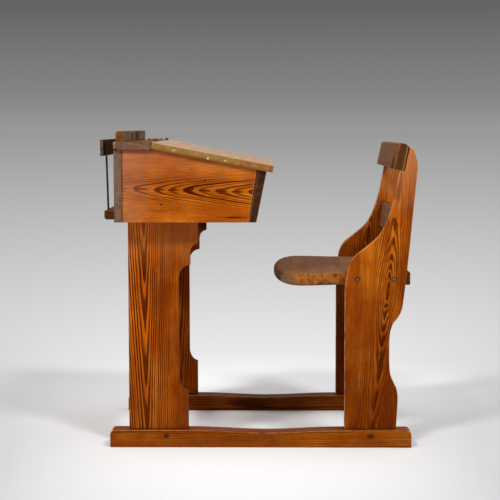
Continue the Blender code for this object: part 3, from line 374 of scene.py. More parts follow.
class Pine(Finish):
    """Waxed pitch pine: growth rings round a pith line, fibres, knots, old dirt and worn arrises, with washes that
    paint light and shade on some boards.
    """

    def __init__(self, name, wood, grain):
        super().__init__(name, wood.early)
        self.wood = wood
        self.grain = grain
        self.thick = next(axis for axis in "xyz" if axis not in (grain.along, grain.across))
        self.ending = abs(self.normal[grain.along]).rise(0.75, 0.95)
        self.faces = 1.0 - self.ending
        self.ripple = self.drawn(14.0, 60.0, 1.0, 2.0) - 0.5
        self.fibre = self.drawn(9.0, 620.0, 0.0, 2.0)
        self.streak = self.drawn(2.2, 85.0, 2.0, 3.0)
        self.late = self.rings()

    def drawn(self, along, across, shift, detail):
        """Noise drawn out along the grain."""
        scales = {self.grain.along: along, self.grain.across: across, self.thick: across}
        shift += self.grain.seed
        return self.noise(self.vector(*(self.place[axis] * scales[axis] + shift for axis in "xyz")),
                          1.0, detail)

    def rings(self):
        """How dark the late wood of the growth rings is."""
        grain = self.grain
        run = self.place[grain.along] - grain.peak
        wander = self.drawn(2.6, 9.0, 0.0, 2.0) - 0.5
        side = self.place[grain.across] - grain.centre - run * grain.lean + wander * (2 * grain.sway)
        depth = self.place[self.thick] - grain.pith
        if grain.eye:
            depth_of_eye, length = grain.eye
            dome = abs(run) * depth_of_eye / (abs(run) + length)
            growth = (side * side + depth * depth + dome * dome).root()
        else:
            growth = (side * side + depth * depth).root()
            growth = growth + run.most(0.0) * grain.up - run.least(0.0) * grain.down
        growth = growth + side.most(0.0) * grain.tight + self.ripple * grain.churn + wander * grain.sway
        years = growth * (1 / (self.wood.ring * grain.spacing))
        years = years + self.noise(self.vector(years * 0.35, grain.seed, 0.0), 1.0, 1.0) * grain.jitter
        year = years.fraction()
        luck = self.chance(years.whole() + grain.seed)
        strength = self.chance(years.whole() + grain.seed + 31.0)
        begin = luck * 0.34 + 0.26
        winter = 1.0 - year.rise(0.92, 1.0)
        late = ((year - begin) * 4.5).rise(0.0, 1.0) * winter * (strength * 0.4 + 0.6)
        patch = self.drawn(4.0, 13.0, 5.0, 3.0)
        figure = 1.0 - abs(side).rise(grain.reach, grain.reach * 1.8) * (1.0 - grain.faint)
        late = (late * figure * (patch.rise(0.22, 0.50) * 0.5 + 0.5) * grain.contrast).least(1.0)
        if grain.core:
            filled = year.rise(0.12, 0.45) * winter * 0.95
            off = (abs(side) + self.ripple * 0.004).rise(grain.core * 0.4, grain.core)
            late = late.most(filled * (1.0 - off))
        return late

    def colour_wood(self):
        """Pale and darker wood, the dark rings over them, old dirt and the fibres."""
        wood = self.wood
        cloud = self.speckle(9.0, 5.0, 0.62, self.grain.seed + 9.0)
        self.lay(cloud.rise(0.34, 0.62) * 0.75, wood.middle)
        self.lay(self.streak.rise(0.42, 0.70) * 0.6, wood.middle)
        if self.grain.red:
            self.lay(self.drawn(4.0, 20.0, 23.0, 3.0).rise(0.42, 0.66) * self.grain.red, shade(120, 36, 0))
        self.lay(self.late * 0.96, wood.late)
        self.lay(self.drawn(5.0, 26.0, 12.0, 4.0).rise(0.56, 0.78) * 0.45 * 0.88, wood.grime)
        fleck = self.drawn(36.0, 210.0, 17.0, 3.0)
        self.darken((self.fibre * 0.60 + fleck * 0.70 + 0.35) * self.grain.tone)

    def age(self):
        """Blotched end grain, and faces gone grey, faded pale or stained; on the lid the pale share is painted
        glare.
        """
        grain = self.grain
        if grain.end:
            blotch = self.speckle(60.0, 4.0, 0.7, grain.seed)
            ends = self.mix(blotch.rise(0.44, 0.70) * (0.75 * grain.mottle), grain.end, self.wood.grime)
            ends = self.mix(blotch.rise(0.48, 0.28) * (0.60 * grain.mottle), ends, grain.pale or grain.end)
            self.lay(self.ending, ends)
        if grain.grey:
            dark = self.late * 0.5 + self.streak.rise(0.4, 0.7) * 0.35
            self.lay(self.faces * grain.grey, self.mix(dark, shade(124, 92, 64), shade(64, 40, 24)))
        if grain.bleach:
            pale = self.mix(self.streak.rise(0.35, 0.65), shade(208, 186, 156), shade(180, 146, 110))
            self.lay(self.faces * grain.bleach, pale)
        if grain.stain:
            self.lay(self.faces * grain.stain, shade(26, 18, 13))

    def mark(self):
        """Knots, washes and spots, each where the grain says; some of the washes are painted light and shade."""
        grain = self.grain
        dark = 0.0
        for along, across, size, stretch in grain.knots:
            gap_along = (self.place[grain.along] - along) * (1 / stretch)
            gap_across = self.place[grain.across] - across
            knot = (gap_along * gap_along + gap_across * gap_across).root() + self.ripple * size
            dark = (1.0 - knot.rise(size * 0.35, size * 1.1)).most(dark)
        if grain.knots:
            self.lay(dark * 0.88, self.wood.grime)
        for way, full, none, share, tint in grain.washes:
            where = sum(self.place[axis] * part for axis, part in zip("xyz", way) if part)
            self.lay(where.rise(none, full) * share, tint)
        turned = abs(self.normal[grain.along]).rise(0.04, 0.12)
        for centre, size, tint in grain.spots:
            gaps = [(self.place[axis] - start) * (1 / wide) for axis, start, wide in zip("xz", centre, size)]
            spot = (gaps[0] * gaps[0] + gaps[1] * gaps[1]).root() + self.ripple
            self.lay((1.0 - spot.rise(0.5, 1.1)) * turned * 0.85, tint)

    def arris(self):
        """Where the surface turns from the board's face to its edge."""
        if self.grain.face:
            tilt = abs(self.normal[self.grain.face])
            return (tilt * (1.0 - tilt) * 4.0).rise(0.35, 0.85)
        flattest = abs(self.normal["x"]).most(abs(self.normal["y"])).most(abs(self.normal["z"]))
        return (1.0 - flattest).rise(0.06, 0.20)

    def paint(self):
        """The whole finish, from the wood to the rubbed arrises; on the desk standards the arrises are painted
        dark with shade.
        """
        grain = self.grain
        self.colour_wood()
        self.age()
        self.mark()
        rub = self.speckle(45.0, 3.0, 0.65, grain.seed + 3.0)
        arris = self.arris()
        self.lay(arris * rub.rise(0.30, 0.58) * grain.worn, grain.rim or self.wood.worn)
        dents = self.speckle(16.0, 3.0, shift=grain.seed + 7.0)
        sawn = 1.0 - abs(self.normal[grain.face]).rise(0.3, 0.8) if grain.face else 0.0
        roughness = (0.38 + self.late * 0.10 + rub * 0.14 + arris * 0.45 + self.ending * 0.12 + sawn
                     + self.faces * (grain.grey * 0.35)).least(1.0)
        height = dents * 0.9 - self.late * 0.12 + self.fibre * 0.10
        return self.done(roughness, height, 0.0012, coat=self.wood.wax, strength=0.5, bend=1.38,
                         tint=self.wood.sheen)


def metal(name, base, bloom, metallic, roughness, grain_size=160.0):
    """Old metal, with a patchy bloom over it."""
    finish = Finish(name, base)
    patch = finish.speckle(grain_size, 4.0, 0.65)
    pits = finish.speckle(grain_size * 5.0, 3.0, 0.6, 4.0)
    share = patch.rise(0.42, 0.66)
    finish.lay(share, bloom)
    shine = (1.0 - share * 0.8) * metallic
    return finish.done(share * 0.25 + pits * 0.12 + roughness, pits * 0.6 + patch * 0.4, 0.0002,
                       metallic=shine)


def glazed(name, fittings):
    """White glaze, crazed and stained with ink towards the inside."""
    finish = Finish(name, fittings.glaze)
    across = finish.place["x"] - middle("inkwell").x
    beside = finish.place["y"] - middle("inkwell").y
    blots = finish.speckle(220.0, 4.0, 0.6)
    radius = (across * across + beside * beside).root() + blots * 0.004
    inner = half_width("inkwell") * 0.76
    stain = (1.0 - radius.rise(inner, inner * 1.15)) * 0.9
    finish.lay(blots.rise(0.55, 0.75) * 0.25, shade(170, 150, 120))
    finish.lay(stain, fittings.ink)
    return finish.done(0.12 + stain * 0.4, blots, 0.0001, coat=0.5, coat_roughness=0.08)


# Meshes

def linked(name, mesh):
    """A new object at the origin, holding a mesh."""
    thing = bpy.data.objects.new(name, mesh)
    bpy.context.scene.collection.objects.link(thing)
    return thing


def made(name, shape):
    """A new object at the origin from an edit mesh, which is used up."""
    mesh = bpy.data.meshes.new(name)
    shape.to_mesh(mesh)
    shape.free()
    return linked(name, mesh)


def settle(thing):
    """Keep what a piece's modifiers make of it as a plain mesh, and drop the modifiers."""
    bpy.context.view_layer.update()
    graph = bpy.context.evaluated_depsgraph_get()
    mesh = bpy.data.meshes.new_from_object(thing.evaluated_get(graph))
    if len(mesh.materials) > 1 and mesh.materials[0] is None:
        mesh.materials.pop(index=0)
    thing.modifiers.clear()
    thing.data = mesh
    return thing


def smoothed(thing, angle):
    """Round shading over the small steps, with flat faces kept flat."""
    thing.data.shade_smooth()
    thing.data.set_sharp_from_angle(angle=math.radians(angle))
    weigh = thing.modifiers.new("weigh", "WEIGHTED_NORMAL")
    weigh.keep_sharp = True
    weigh.weight = 80
    return settle(thing)


def clean_copy(node, name, angle):
    """A piece of the frame with its triangles merged to whole faces and its shading rounded."""
    shape = bmesh.new()
    shape.from_mesh(frame["nodes"][node].data)
    bmesh.ops.remove_doubles(shape, verts=shape.verts, dist=0.00001)
    bmesh.ops.dissolve_limit(shape, angle_limit=math.radians(0.2), verts=shape.verts, edges=shape.edges)
    return smoothed(made(name, shape), angle)


def dress(thing, node, material):
    """Put a finished piece in its node's place, on its node's body."""
    thing.data.materials.clear()
    thing.data.materials.append(material)
    body = next(name for name, members in frame["record"]["behaviour"]["bodies"].items() if node in members)
    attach(thing, body)
    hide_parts(node)


def dress_board(node, wood, slot="pitch_pine", **cut):
    """A clean copy of a wooden piece in its own grain."""
    thing = clean_copy(node, node + "_board", 60.0)
    dress(thing, node, Pine(node + "_grain", wood, Grain(**cut)).paint())


def dress_metal(node, material):
    """A clean copy of an iron piece."""
    dress(clean_copy(node, node + "_smooth", 40.0), node, material)


def paint_nodes(pattern, words, material):
    """Give pieces of the frame a material as they stand, on both sides of the desk."""
    for side in SIDES:
        for word in words:
            mesh = frame["nodes"][pattern.format(side, word)].data
            mesh.materials.clear()
            mesh.materials.append(material)


def turned_ring(name, profile, centre, angle, sides=48):
    """A closed (radius, height) outline spun round an upright axis."""
    shape = bmesh.new()
    rings = []
    for step in range(sides):
        turn = Matrix.Rotation(2 * math.pi * step / sides, 3, "Z") @ Vector(ALONG)
        rings.append([shape.verts.new(centre + turn * radius + Vector(UP) * height)
                      for radius, height in profile])
    count = len(profile)
    for ring, after in zip(rings, rings[1:] + rings[:1]):
        for i in range(count):
            j = (i + 1) % count
            shape.faces.new((ring[i], after[i], after[j], ring[j]))
    bmesh.ops.remove_doubles(shape, verts=shape.verts, dist=0.000001)
    bmesh.ops.recalc_face_normals(shape, faces=shape.faces)
    return smoothed(made(name, shape), angle)


# Geometry Nodes

class Plan(Graph):
    """A geometry node tree with named numbers, other named inputs and a material."""

    def __init__(self, name, floats, others=()):
        tree = bpy.data.node_groups.new(name, "GeometryNodeTree")
        tree.interface.new_socket(name="Geometry", in_out="OUTPUT", socket_type="NodeSocketGeometry")
        inputs = [("Geometry", "Geometry"), *((label, "Float") for label in floats), *others,
                  ("Material", "Material")]
        for label, kind in inputs:
            tree.interface.new_socket(name=label, in_out="INPUT", socket_type="NodeSocket" + kind)
        super().__init__(tree)
        start = self.node("NodeGroupInput")
        self.given = {label: Value(self, start.outputs[label]) for label, _ in inputs}

    def close(self, geometry):
        """End with real geometry in its material."""
        real = self.node("GeometryNodeRealizeInstances", None, {0: geometry})
        painted = self.node("GeometryNodeSetMaterial", None,
                            {"Geometry": real, "Material": self.given["Material"]})
        self.node("NodeGroupOutput", None, {0: painted})
        return self.tree


def grow(thing, tree, values):
    """Run a tree on a piece with its inputs set, and keep the result as a plain mesh."""
    modifier = thing.modifiers.new("grow", "NODES")
    modifier.node_group = tree
    for item in tree.interface.items_tree:
        if item.in_out == "INPUT" and item.name in values:
            modifier[item.identifier] = values[item.name]
    return settle(thing)


def fastener_plan():
    """Slotted screw heads or plain nail heads on points, each turned its own way."""
    plan = Plan("fasteners", ("Head radius", "Head height", "Slot width", "Slot depth"), [("Seed", "Int")])
    given = plan.given
    radius = given["Head radius"]
    height = given["Head height"]
    head = plan.node("GeometryNodeMeshCylinder", {"fill_type": "NGON"},
                     {"Vertices": 20, "Radius": radius, "Depth": height})
    size = plan.vector(radius * 2.4, given["Slot width"], given["Slot depth"] * 2.0)
    bar = plan.node("GeometryNodeMeshCube", None, {"Size": size})
    lifted = plan.node("GeometryNodeTransform", None,
                       {"Geometry": bar, "Translation": plan.vector(0.0, 0.0, height * 0.5)})
    slotted = plan.node("GeometryNodeMeshBoolean", {"operation": "DIFFERENCE", "solver": "EXACT"},
                        {"Mesh 1": head, "Mesh 2": lifted})
    facing = plan.node("GeometryNodeInputNamedAttribute", {"data_type": "FLOAT_VECTOR"}, {"Name": "facing"})
    aligned = plan.node("FunctionNodeAlignRotationToVector", {"axis": "Z"}, {"Vector": facing})
    angle = plan.node("FunctionNodeRandomValue", {"data_type": "FLOAT"},
                      {2: 0.0, 3: math.pi, "Seed": given["Seed"]})
    spin = plan.node("FunctionNodeAxisAngleToRotation", None, {"Axis": UP, "Angle": angle.outputs[1]})
    turned = plan.node("FunctionNodeRotateRotation", {"rotation_space": "LOCAL"},
                       {"Rotation": aligned, "Rotate By": spin})
    return plan.close(plan.node("GeometryNodeInstanceOnPoints", None,
                                {"Points": given["Geometry"], "Instance": slotted, "Rotation": turned}))


def rod_plan():
    """A round rod along a line of points, with its bends eased."""
    plan = Plan("rods", ("Radius", "Bend"))
    line = plan.node("GeometryNodeMeshToCurve", None, {0: plan.given["Geometry"]})
    eased = plan.node("GeometryNodeFilletCurve", {"mode": "POLY"},
                      {"Curve": line, "Count": 6, "Radius": plan.given["Bend"]})
    ring = plan.node("GeometryNodeCurvePrimitiveCircle", None,
                     {"Resolution": 14, "Radius": plan.given["Radius"]})
    rod = plan.node("GeometryNodeCurveToMesh", None,
                    {"Curve": eased, "Profile Curve": ring, "Fill Caps": True})
    return plan.close(plan.node("GeometryNodeSetShadeSmooth", None, {0: rod}))


def seat_plan():
    """The seat board by its rule: a full round nose, sides drawn in, a top worn slightly hollow."""
    plan = Plan("seat", ("Length", "Front width", "Rear width", "Nose", "Power", "Drawn in", "Thickness",
                         "Hollow", "Nose radius", "Side radius"), [("Corner", "Vector")])
    given = plan.given
    board = plan.node("GeometryNodeMeshCube", None,
                      {"Size": (1.0, 1.0, 1.0), "Vertices X": 70, "Vertices Y": 33, "Vertices Z": 17})
    place = plan.parts(plan.node("GeometryNodeInputPosition"))
    length = given["Length"]
    along = (place["x"] + 0.5) ** 1.7 * length
    nose = given["Nose"]
    power = given["Power"]
    back = ((nose - along) / nose).most(0.0)
    fullness = (1.0 - back ** power).most(0.0) ** (1.0 / power)
    drawn = ((along - nose) / (given["Drawn in"] - nose)).most(0.0).least(1.0)
    blend = (1.0 - (drawn * math.pi).cosine()) * 0.5
    front = given["Front width"] * 0.5
    rear = given["Rear width"] * 0.5
    side = given["Side radius"]
    radius = side + (given["Nose radius"] - side) * back ** 0.6
    thick = given["Thickness"] * 0.5
    level = (place["z"] * math.pi).sine() * thick
    past = ((abs(level) - thick + radius) / radius).most(0.0).least(1.0)
    inset = radius * (1.0 - (1.0 - past * past).most(0.0).root())
    half = fullness * (front + (rear - front) * blend - inset)
    across = place["y"] * 2.0 * half
    run = (along + back * inset).least(length - inset)
    centred = along / length * 2.0 - 1.0
    bowl = (1.0 - centred * centred).most(0.0) * (1.0 - place["y"] * place["y"] * 4.0).most(0.0)
    rise = level + thick - bowl * place["z"].above(0.49) * given["Hollow"]
    corner = plan.parts(given["Corner"])
    shaped = plan.node("GeometryNodeSetPosition", None,
                       {"Geometry": board,
                        "Position": plan.vector(run + corner["x"], across, rise + corner["z"])})
    return plan.close(plan.node("GeometryNodeMergeByDistance", None,
                                {"Geometry": shaped, "Distance": 0.00001}))


def fasten(name, body, places, radius, fittings, material, slotted=True):
    """Heads as one plain mesh on a body: each place has the way that its head faces."""
    depth = radius * 0.45
    places = list(places)
    mesh = bpy.data.meshes.new(name)
    mesh.from_pydata([place - Vector(way) * (depth / 2 - fittings.proud) for place, way in places], [], [])
    facing = mesh.attributes.new("facing", "FLOAT_VECTOR", "POINT")
    for item, (_, way) in zip(facing.data, places):
        item.vector = way
    thing = linked(name, mesh)
    width, cut = (fittings.slot_width, depth * 0.5) if slotted else (radius * 0.02, radius * 0.02)
    grow(thing, fastener_plan(), {"Head radius": radius, "Head height": depth, "Slot width": width,
                                  "Slot depth": cut, "Seed": fittings.seed, "Material": material})
    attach(thing, body)


# Pieces

class DeskOperator:
    """What every maker of pieces shares."""
    bl_options = {"REGISTER", "UNDO"}

    def execute(self, context):
        scene = context.scene
        self.make(scene.desk_wood, scene.desk_fittings, scene.desk_studio)
        return {"FINISHED"}


class DESK_OT_feet(DeskOperator, bpy.types.Operator):
    """The sledge feet and their pegs"""
    bl_idname = "desk.feet"
    bl_label = "Feet"

    def make(self, wood, fittings, studio):
        for far, (side, sign) in enumerate(SIDES.items()):
            node = side + "_foot"
            pegs = [middle(side + peg) for peg in ("_desk_foot_peg", "_seat_foot_peg")]
            knots = [(peg.x, peg.z, 0.0075, 1.4) for peg in pegs]
            washes = [(UP, 0.0, 0.007, 0.5, wood.grime)]
            # The far foot's extra wash over the whole foot and its lower tone are painted shade from the desk
            # above; the long patch added as a knot darkens the middle of its face.
            if far:
                knots.append((-0.032, 0.018, 0.026, 3.0))
                washes.append((UP, high(node).z, high(node).z + 0.1, 0.45, wood.grime))
            dress_board(node, wood, along="x", centre=-0.02, pith=outer_face(node, sign) + sign * 0.02,
                        up=-0.006, down=0.006, reach=0.2, spacing=0.9, sway=0.004, contrast=0.8,
                        tone=0.56 - 0.06 * far, seed=11.0 + far, worn=0.95, red=0.4,
                        rim=shade(204, 134, 76), end=shade(122, 62, 22), knots=knots, washes=washes)
        peg = Grain(tone=0.4, seed=3.0, worn=0.0, end=shade(52, 30, 18))
        paint_nodes("{}_{}_foot_peg", ("desk", "seat"), Pine("peg_grain", wood, peg).paint())


class DESK_OT_desk_standards(DeskOperator, bpy.types.Operator):
    """The two boards that carry the desk, and the rail between them"""
    bl_idname = "desk.desk_standards"
    bl_label = "Desk standards"

    def make(self, wood, fittings, studio):
        for far, (side, sign) in enumerate(SIDES.items()):
            node = side + "_desk_standard"
            rear = low(node).x
            # The second wash is a painted pool of light that lifts the top of the standard where the box's shadow
            # falls.
            washes = [(ALONG, rear + 0.10, rear + 0.05, 0.44, shade(74, 18, 0)),
                      (UP, BOX_BASE, BOX_BASE - 0.14, 0.20, shade(250, 150, 84)),
                      (UP, 0.04, 0.30, 0.30, wood.late)]
            # The far standard's black wash under the box is a painted shadow, and its lower tone is painted shade.
            if far:
                washes.append((UP, BOX_BASE - 0.042, BOX_BASE - 0.075, 0.92, shade(14, 8, 5)))
            # The dark rim laid along the arrises here is painted shade, not wear.
            dress_board(node, wood, along="z", across="x", centre=rear + 0.048 + 0.05 * far,
                        pith=outer_face(node, sign) + sign * 0.012, up=-0.0433, down=0.0433,
                        lean=-0.014, reach=0.038, faint=0.55, spacing=1.24, tight=0.25, sway=0.003,
                        seed=21.0 + 3 * far, face="y", worn=0.8, tone=1.16 - 0.30 * far, contrast=1.35,
                        core=0.010, red=0.50, jitter=0.4, peak=-0.027, rim=shade(74, 30, 8),
                        washes=washes)
        rail = "desk_cross_rail"
        dress_board(rail, wood, centre=high(rail).z - 0.06, pith=low(rail).x, up=-0.03, down=0.04,
                    seed=31.0, tone=0.8)


class DESK_OT_seat_standards(DeskOperator, bpy.types.Operator):
    """The two shaped boards that carry the seat and its back"""
    bl_idname = "desk.seat_standards"
    bl_label = "Seat standards"

    def make(self, wood, fittings, studio):
        for far, (side, sign) in enumerate(SIDES.items()):
            node = side + "_seat_standard"
            eye = Vector((low(node).x + 0.108 - 0.02 * far, 0.0, 0.395 + 0.09 * far))
            top = high(node).z
            screws = [middle(side + screw) for screw in ("_front_seat_screw", "_rear_seat_screw")]
            knots = [(eye.z, eye.x, 0.0032, 4.5)] + [(screw.z, screw.x, 0.0088, 1.0) for screw in screws]
            washes = [(UP, 0.04, 0.58, 0.64, wood.late),
                      (UP, top, top - 0.20, 0.45, shade(236, 156, 100))]
            # The far standard's dark wash below the seat is painted shade, in the dirt colour.
            if far:
                washes.append((UP, 0.38, 0.60, 0.60, wood.grime))
            dress_board(node, wood, along="z", across="x", centre=eye.x, peak=eye.z,
                        pith=outer_face(node, sign) - sign * 0.002, eye=(0.048, 0.15), lean=0.105,
                        reach=0.034, faint=0.40, spacing=0.95, tight=0.15, sway=0.005, churn=0.008,
                        seed=41.0 + 3 * far, face="y", worn=0.95, contrast=0.92, core=0.005, red=0.62,
                        rim=shade(246, 192, 140), tone=0.97, knots=knots, washes=washes)


class DESK_OT_seat(DeskOperator, bpy.types.Operator):
    """The seat board, its cleats and the screws in its edges"""
    bl_idname = "desk.seat"
    bl_label = "Seat"

    def make(self, wood, fittings, studio):
        node = "seat_board"
        corner = low(node)
        size = high(node) - corner
        rear = corner.x + size.x
        grain = Grain(across="x", centre=corner.x + size.x * 1.4, pith=corner.z - 0.05, up=-0.004,
                      down=0.006, reach=1.0, seed=51.0, worn=0.25, tone=0.94, spacing=2.2,
                      contrast=0.22, grey=0.88, rim=shade(176, 132, 92), end=shade(170, 102, 42),
                      pale=shade(216, 156, 88))
        grain.washes = ((UP, corner.z, corner.z + 0.012, 0.60, wood.grime),
                        (ALONG, corner.x, corner.x + 0.035, 0.30, wood.grime),
                        (ALONG, rear - 0.008, rear - 0.02, 0.75, wood.grime))
        grain.spots = (((corner.x + 0.026, corner.z + 0.014), (0.017, 0.011), shade(128, 106, 80)),
                       ((corner.x + 0.012, corner.z + 0.012), (0.0055, 0.014), shade(50, 28, 13)))
        finish = Pine("seat_grain", wood, grain).paint()
        board = linked("seat_board_worn", bpy.data.meshes.new("seat_board_worn"))
        clearance = 0.0003
        grow(board, seat_plan(), {
            "Length": size.x, "Front width": size.y, "Rear width": 2 * (abs(INNER_FACE) - clearance),
            "Nose": wood.seat_nose, "Power": wood.seat_power,
            "Drawn in": low("left_seat_standard").x - corner.x - 0.004, "Thickness": size.z,
            "Hollow": wood.seat_hollow, "Nose radius": wood.seat_round, "Side radius": wood.seat_edge,
            "Corner": corner, "Material": finish})
        dress(smoothed(board, 50.0), node, finish)
        for side in SIDES:
            dress_board(side + "_seat_cleat", wood, along="x", centre=0.39, seed=57.0, tone=0.8, faint=0.6)
        iron = metal("seat_screw_iron", shade(104, 88, 66), shade(74, 52, 34), 0.0, 0.7, 240.0)
        paint_nodes("{}_{}_seat_screw", ("front", "rear"), iron)


class DESK_OT_back_rails(DeskOperator, bpy.types.Operator):
    """The two rails of the seat's back, and the screws of the upper one"""
    bl_idname = "desk.back_rails"
    bl_label = "Back rails"

    def make(self, wood, fittings, studio):
        node = "top_back_rail"
        lean = (1.0, 0.0, -0.2)
        rear = span(node, lean)[1]
        # Its two washes by the rear face are a painted highlight along that edge and a painted shadow gap beside
        # it.
        dress_board(node, wood, centre=low(node).z + 0.30, pith=low(node).x - 0.01, up=0.0, down=0.0,
                    seed=61.0, reach=1.0, contrast=0.22, tone=0.62, grey=0.80, worn=0.2, mottle=0.5,
                    rim=shade(58, 40, 28), end=shade(84, 54, 28), pale=shade(112, 78, 46),
                    washes=((lean, rear - 0.0065, rear - 0.0085, 0.60, shade(170, 122, 84)),
                            (lean, rear - 0.0030, rear - 0.0050, 0.92, wood.grime)))
        node = "lower_back_rail"
        dress_board(node, wood, centre=low(node).z + 0.30, pith=low(node).x - 0.02, up=0.0, down=0.0,
                    seed=67.0, contrast=0.22, tone=0.40, grey=0.34, worn=0.4, rim=shade(150, 112, 74))
        iron = metal("rail_screw_iron", fittings.iron, fittings.rust, 0.8, 0.45)
        paint_nodes("{}_{}_rail_screw", ("back",), iron)


class DESK_OT_box(DeskOperator, bpy.types.Operator):
    """The boards of the desk box, and the cleats under it"""
    bl_idname = "desk.box"
    bl_label = "Box"

    def washes(self, node, wood):
        """A rosy painted glare at the rear and the top, and a dark strip at the sloping front edge."""
        start = low(node).x
        top = high(node).z
        pink_glare = shade(190, 130, 102)
        slope = 0.158
        tilt = (1.0, 0.0, -slope)
        edge = span(node, (1.0, 0.0, -math.tan(FRONT_SLANT)))[1] + math.tan(FRONT_SLANT) * BOX_BASE
        strip = edge - 0.003 - slope * BOX_BASE
        # The two rosy washes are painted glare on the rear and the top.
        return ((ALONG, start, start + 0.10, 0.34, pink_glare),
                (UP, top, top - 0.10, 0.22, pink_glare),
                (ALONG, start, start + 0.007, 0.75, wood.grime),
                (tilt, strip, strip - 0.0015, 0.40, shade(190, 134, 90)),
                (tilt, strip + 0.002, strip + 0.0005, 0.92, shade(60, 36, 22)))

    def make(self, wood, fittings, studio):
        for far, (side, sign) in enumerate(SIDES.items()):
            node = "box_" + side + "_side"
            start = low(node).x
            knots = ((start + 0.207, 0.6755, 0.0035, 1.0), (start + 0.098, 0.6165, 0.004, 1.0),
                     (start + 0.176, 0.6560, 0.004, 1.0), (start + 0.275, 0.5845, 0.0034, 12.0))
            dress_board(node, wood, along="x", centre=BOX_BASE + 0.085 - 0.02 * far, peak=start,
                        pith=outer_face(node, sign) + sign * 0.018, up=-0.11, down=0.0, lean=-0.028,
                        reach=0.024, faint=0.22, spacing=0.95, sway=0.004, seed=71.0 + 3 * far,
                        contrast=1.15, core=0.003, red=0.25, knots=knots, washes=self.washes(node, wood))
        dress_board("box_front", wood, centre=BOX_BASE + 0.07, pith=low("box_front").x, up=-0.08,
                    down=0.10, seed=81.0, tone=0.9, end=shade(58, 38, 24), pale=shade(96, 66, 42))
        dress_board("box_back", wood, centre=BOX_BASE + 0.09, pith=high("box_back").x, up=-0.09,
                    down=0.08, seed=85.0, reach=0.06, tone=0.62, grey=0.4, mottle=0.5,
                    end=shade(126, 100, 84), pale=shade(146, 120, 102))
        dress_board("box_bottom", wood, across="x", centre=-0.2, pith=BOX_BASE - 0.02, up=-0.06,
                    down=0.07, seed=88.0, reach=0.10, tone=0.85)
        for side in SIDES:
            dress_board(side + "_box_cleat", wood, along="x", centre=0.55, seed=93.0, tone=0.75, faint=0.6)


class DESK_OT_shelf(DeskOperator, bpy.types.Operator):
    """The pen shelf, its edging and the book stop"""
    bl_idname = "desk.shelf"
    bl_label = "Pen shelf"

    def make(self, wood, fittings, studio):
        dress_board("pen_shelf", wood, across="x", centre=low("pen_shelf").x + 0.04,
                    pith=SHELF_TOP - 0.06, up=-0.04, down=0.04, contrast=0.4, seed=101.0, reach=0.06,
                    tone=0.5, grey=0.8, worn=0.1, mottle=0.5, end=shade(118, 92, 74),
                    pale=shade(146, 120, 100))
        dress_board("shelf_edging", wood, centre=SHELF_TOP, pith=low("shelf_edging").x, seed=105.0,
                    tone=0.8, grey=0.6, end=shade(158, 140, 118))
        start = low("book_stop")
        dress_board("book_stop", wood, centre=SHELF_TOP + 0.01, pith=start.x - 0.01, seed=109.0,
                    tone=0.34, grey=0.72, bleach=0.15, worn=0.3, contrast=0.4, mottle=0.6,
                    end=shade(120, 76, 38), pale=shade(160, 104, 56),
                    knots=((start.y + 0.209, SHELF_TOP + 0.012, 0.011, 2.6),
                           (start.y + 0.36, SHELF_TOP + 0.013, 0.018, 4.5)))


class DESK_OT_lid(DeskOperator, bpy.types.Operator):
    """The lid's boards and battens"""
    bl_idname = "desk.lid"
    bl_label = "Lid"

    def washes(self, node):
        """A dark lower edge, and painted glare over the pale top."""
        normal = (math.sin(LID_SLOPE), 0.0, math.cos(LID_SLOPE))
        under, over = span(node, normal)
        return ((normal, under, under + 0.008, 0.55, shade(104, 62, 22)),
                (normal, over - 0.0010, over - 0.0035, 0.45, shade(200, 180, 154)))

    def make(self, wood, fittings, studio):
        node = "lid_rear_board"
        # On both lid boards the pale share and the top wash are painted glare.
        dress_board(node, wood, across="x", centre=low(node).x - 0.20, pith=0.66, up=0.01, down=0.01,
                    seed=111.0, reach=1.0, contrast=0.45, bleach=0.50, worn=0.35, mottle=0.35,
                    end=shade(160, 122, 64), pale=shade(206, 176, 120), washes=self.washes(node),
                    spots=(((-0.2115, 0.7504), (0.0060, 0.0026), shade(206, 190, 120)),
                           ((-0.1281, 0.7307), (0.0042, 0.0040), shade(220, 208, 198)),
                           ((-0.0855, 0.7245), (0.0050, 0.0024), shade(200, 180, 112))))
        node = "lid_front_board"
        dress_board(node, wood, across="x", centre=low(node).x - 0.25, pith=0.68, up=0.01, down=0.01,
                    seed=117.0, reach=1.0, contrast=0.45, bleach=0.45, mottle=0.5,
                    end=shade(168, 110, 60), pale=shade(210, 160, 108), washes=self.washes(node))
        for side in SIDES:
            node = "lid_" + side + "_batten"
            dress_board(node, wood, along="x", across="y", centre=low(node).y + 0.02, pith=0.70,
                        seed=121.0, tone=0.85)


class DESK_OT_hinges(DeskOperator, bpy.types.Operator):
    """The lid's two butt hinges"""
    bl_idname = "desk.hinges"
    bl_label = "Hinges"

    def make(self, wood, fittings, studio):
        iron = metal("hinge_iron", shade(104, 84, 60), fittings.rust, 0.55, 0.45)
        for side in SIDES:
            for part in ("shelf_leaf", "lid_leaf", "pin"):
                dress_metal(side + "_hinge_" + part, iron)


